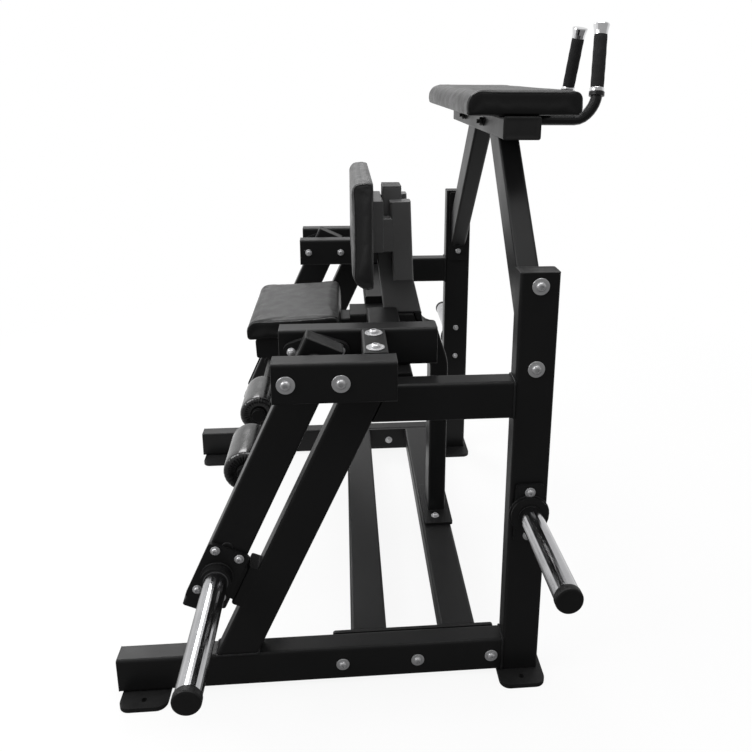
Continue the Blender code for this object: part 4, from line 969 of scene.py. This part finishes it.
def make_world():
    """White to the camera. Reflections see it dark in front and bright behind, with one softbox."""
    world = bpy.data.worlds.new("studio")
    world.use_nodes = True
    bpy.context.scene.world = world
    tree = world.node_tree
    soft = tree.nodes["Background"]
    soft.inputs["Color"].default_value = (1, 1, 1, 1)
    direction = node(tree, "ShaderNodeTexCoord").outputs["Generated"]
    toward = node(tree, "ShaderNodeSeparateXYZ", {0: direction}).outputs
    feed(tree, soft, Strength=ramp(tree, toward["Y"], -0.4, 0.4, WORLD_FRONT, WORLD_BACK))
    white = node(tree, "ShaderNodeBackground")
    white.inputs["Color"].default_value = (1, 1, 1, 1)
    rays = node(tree, "ShaderNodeLightPath").outputs
    behind = ramp(tree, toward["Y"], -0.35, 0.15, FRONT_GLOSS, 1.0)
    for part, low, high, share in (("Z", 0.0, 0.4, HIGH_GLOSS), ("X", -0.25, 0.3, RIGHT_GLOSS)):
        behind = maths(tree, "MULTIPLY", behind, ramp(tree, toward[part], low, high, 1.0, share))
    box = node(tree, "ShaderNodeVectorMath", {0: direction}, operation="DOT_PRODUCT")
    box.inputs[1].default_value = Vector(SOFTBOX_TOWARD).normalized()
    edge, core = (math.cos(math.radians(angle)) for angle in (SOFTBOX_EDGE, SOFTBOX_CORE))
    box = ramp(tree, box.outputs["Value"], edge, core, 0.0, 1.0)
    mirrored = mirrored_ray(tree, rays)
    lit = maths(tree, "MULTIPLY", mirrored, box)
    boost = node(tree, "ShaderNodeMath", {0: lit}, operation="MULTIPLY_ADD")
    boost.inputs[1].default_value, boost.inputs[2].default_value = SOFTBOX - 1.0, 1.0
    feed(tree, white, Strength=boost.outputs[0])
    bright = maths(tree, "MULTIPLY", mirrored, maths(tree, "MAXIMUM", behind, box))
    seen = maths(tree, "MAXIMUM", rays["Is Camera Ray"], bright)
    both = node(tree, "ShaderNodeMixShader", {0: seen, 1: soft.outputs[0], 2: white.outputs[0]})
    tree.links.new(both.outputs[0], tree.nodes["World Output"].inputs["Surface"])


def add_lamp(name, place, target, size, power, mirrored=True):
    data = bpy.data.lights.new(name, "AREA")
    data.shape = "RECTANGLE"
    data.size, data.size_y = size
    data.energy = power
    lamp = bpy.data.objects.new(name, data)
    lamp.location = place
    lamp.rotation_euler = (Vector(target) - Vector(place)).to_track_quat("-Z", "Y").to_euler()
    lamp.visible_glossy = mirrored
    bpy.context.scene.collection.objects.link(lamp)


def make_camera():
    """The photograph's view: focal length and principal point in pixels, and the fitted place and turn."""
    forward = Vector(CAMERA_TOWARD).normalized()
    right = forward.cross(Z_AXIS).normalized()
    up = right.cross(forward)
    x_axis = right * math.cos(CAMERA_ROLL) + up * math.sin(CAMERA_ROLL)
    y_axis = up * math.cos(CAMERA_ROLL) - right * math.sin(CAMERA_ROLL)
    turn = Matrix((x_axis, y_axis, -forward)).transposed()
    data = bpy.data.cameras.new("camera")
    data.sensor_width = 36.0
    data.lens = data.sensor_width * FOCAL / PHOTO_SIZE
    data.shift_x = (PHOTO_SIZE / 2 - PHOTO_X) / PHOTO_SIZE
    data.shift_y = (PHOTO_Y - PHOTO_SIZE / 2) / PHOTO_SIZE
    data.clip_start, data.clip_end = 0.05, 100.0
    camera = bpy.data.objects.new("camera", data)
    camera.matrix_world = Matrix.Translation(CAMERA_PLACE) @ turn.to_4x4()
    bpy.context.scene.collection.objects.link(camera)
    bpy.context.scene.camera = camera


make_stage()
make_world()
add_lamp("key", (-3.2, -0.9, 3.0), OBJECT_MIDDLE, size=(2.2, 2.2), power=75)
add_lamp("top", (0.3, -0.3, 4.0), OBJECT_MIDDLE, size=(2.6, 2.6), power=60)
add_lamp("back", (-1.65, 3.2, 3.2), (-0.4, -0.4, 0.2), size=(1.7, 1.3), power=80, mirrored=False)
make_camera()
bpy.context.scene.view_settings.view_transform = "Standard"
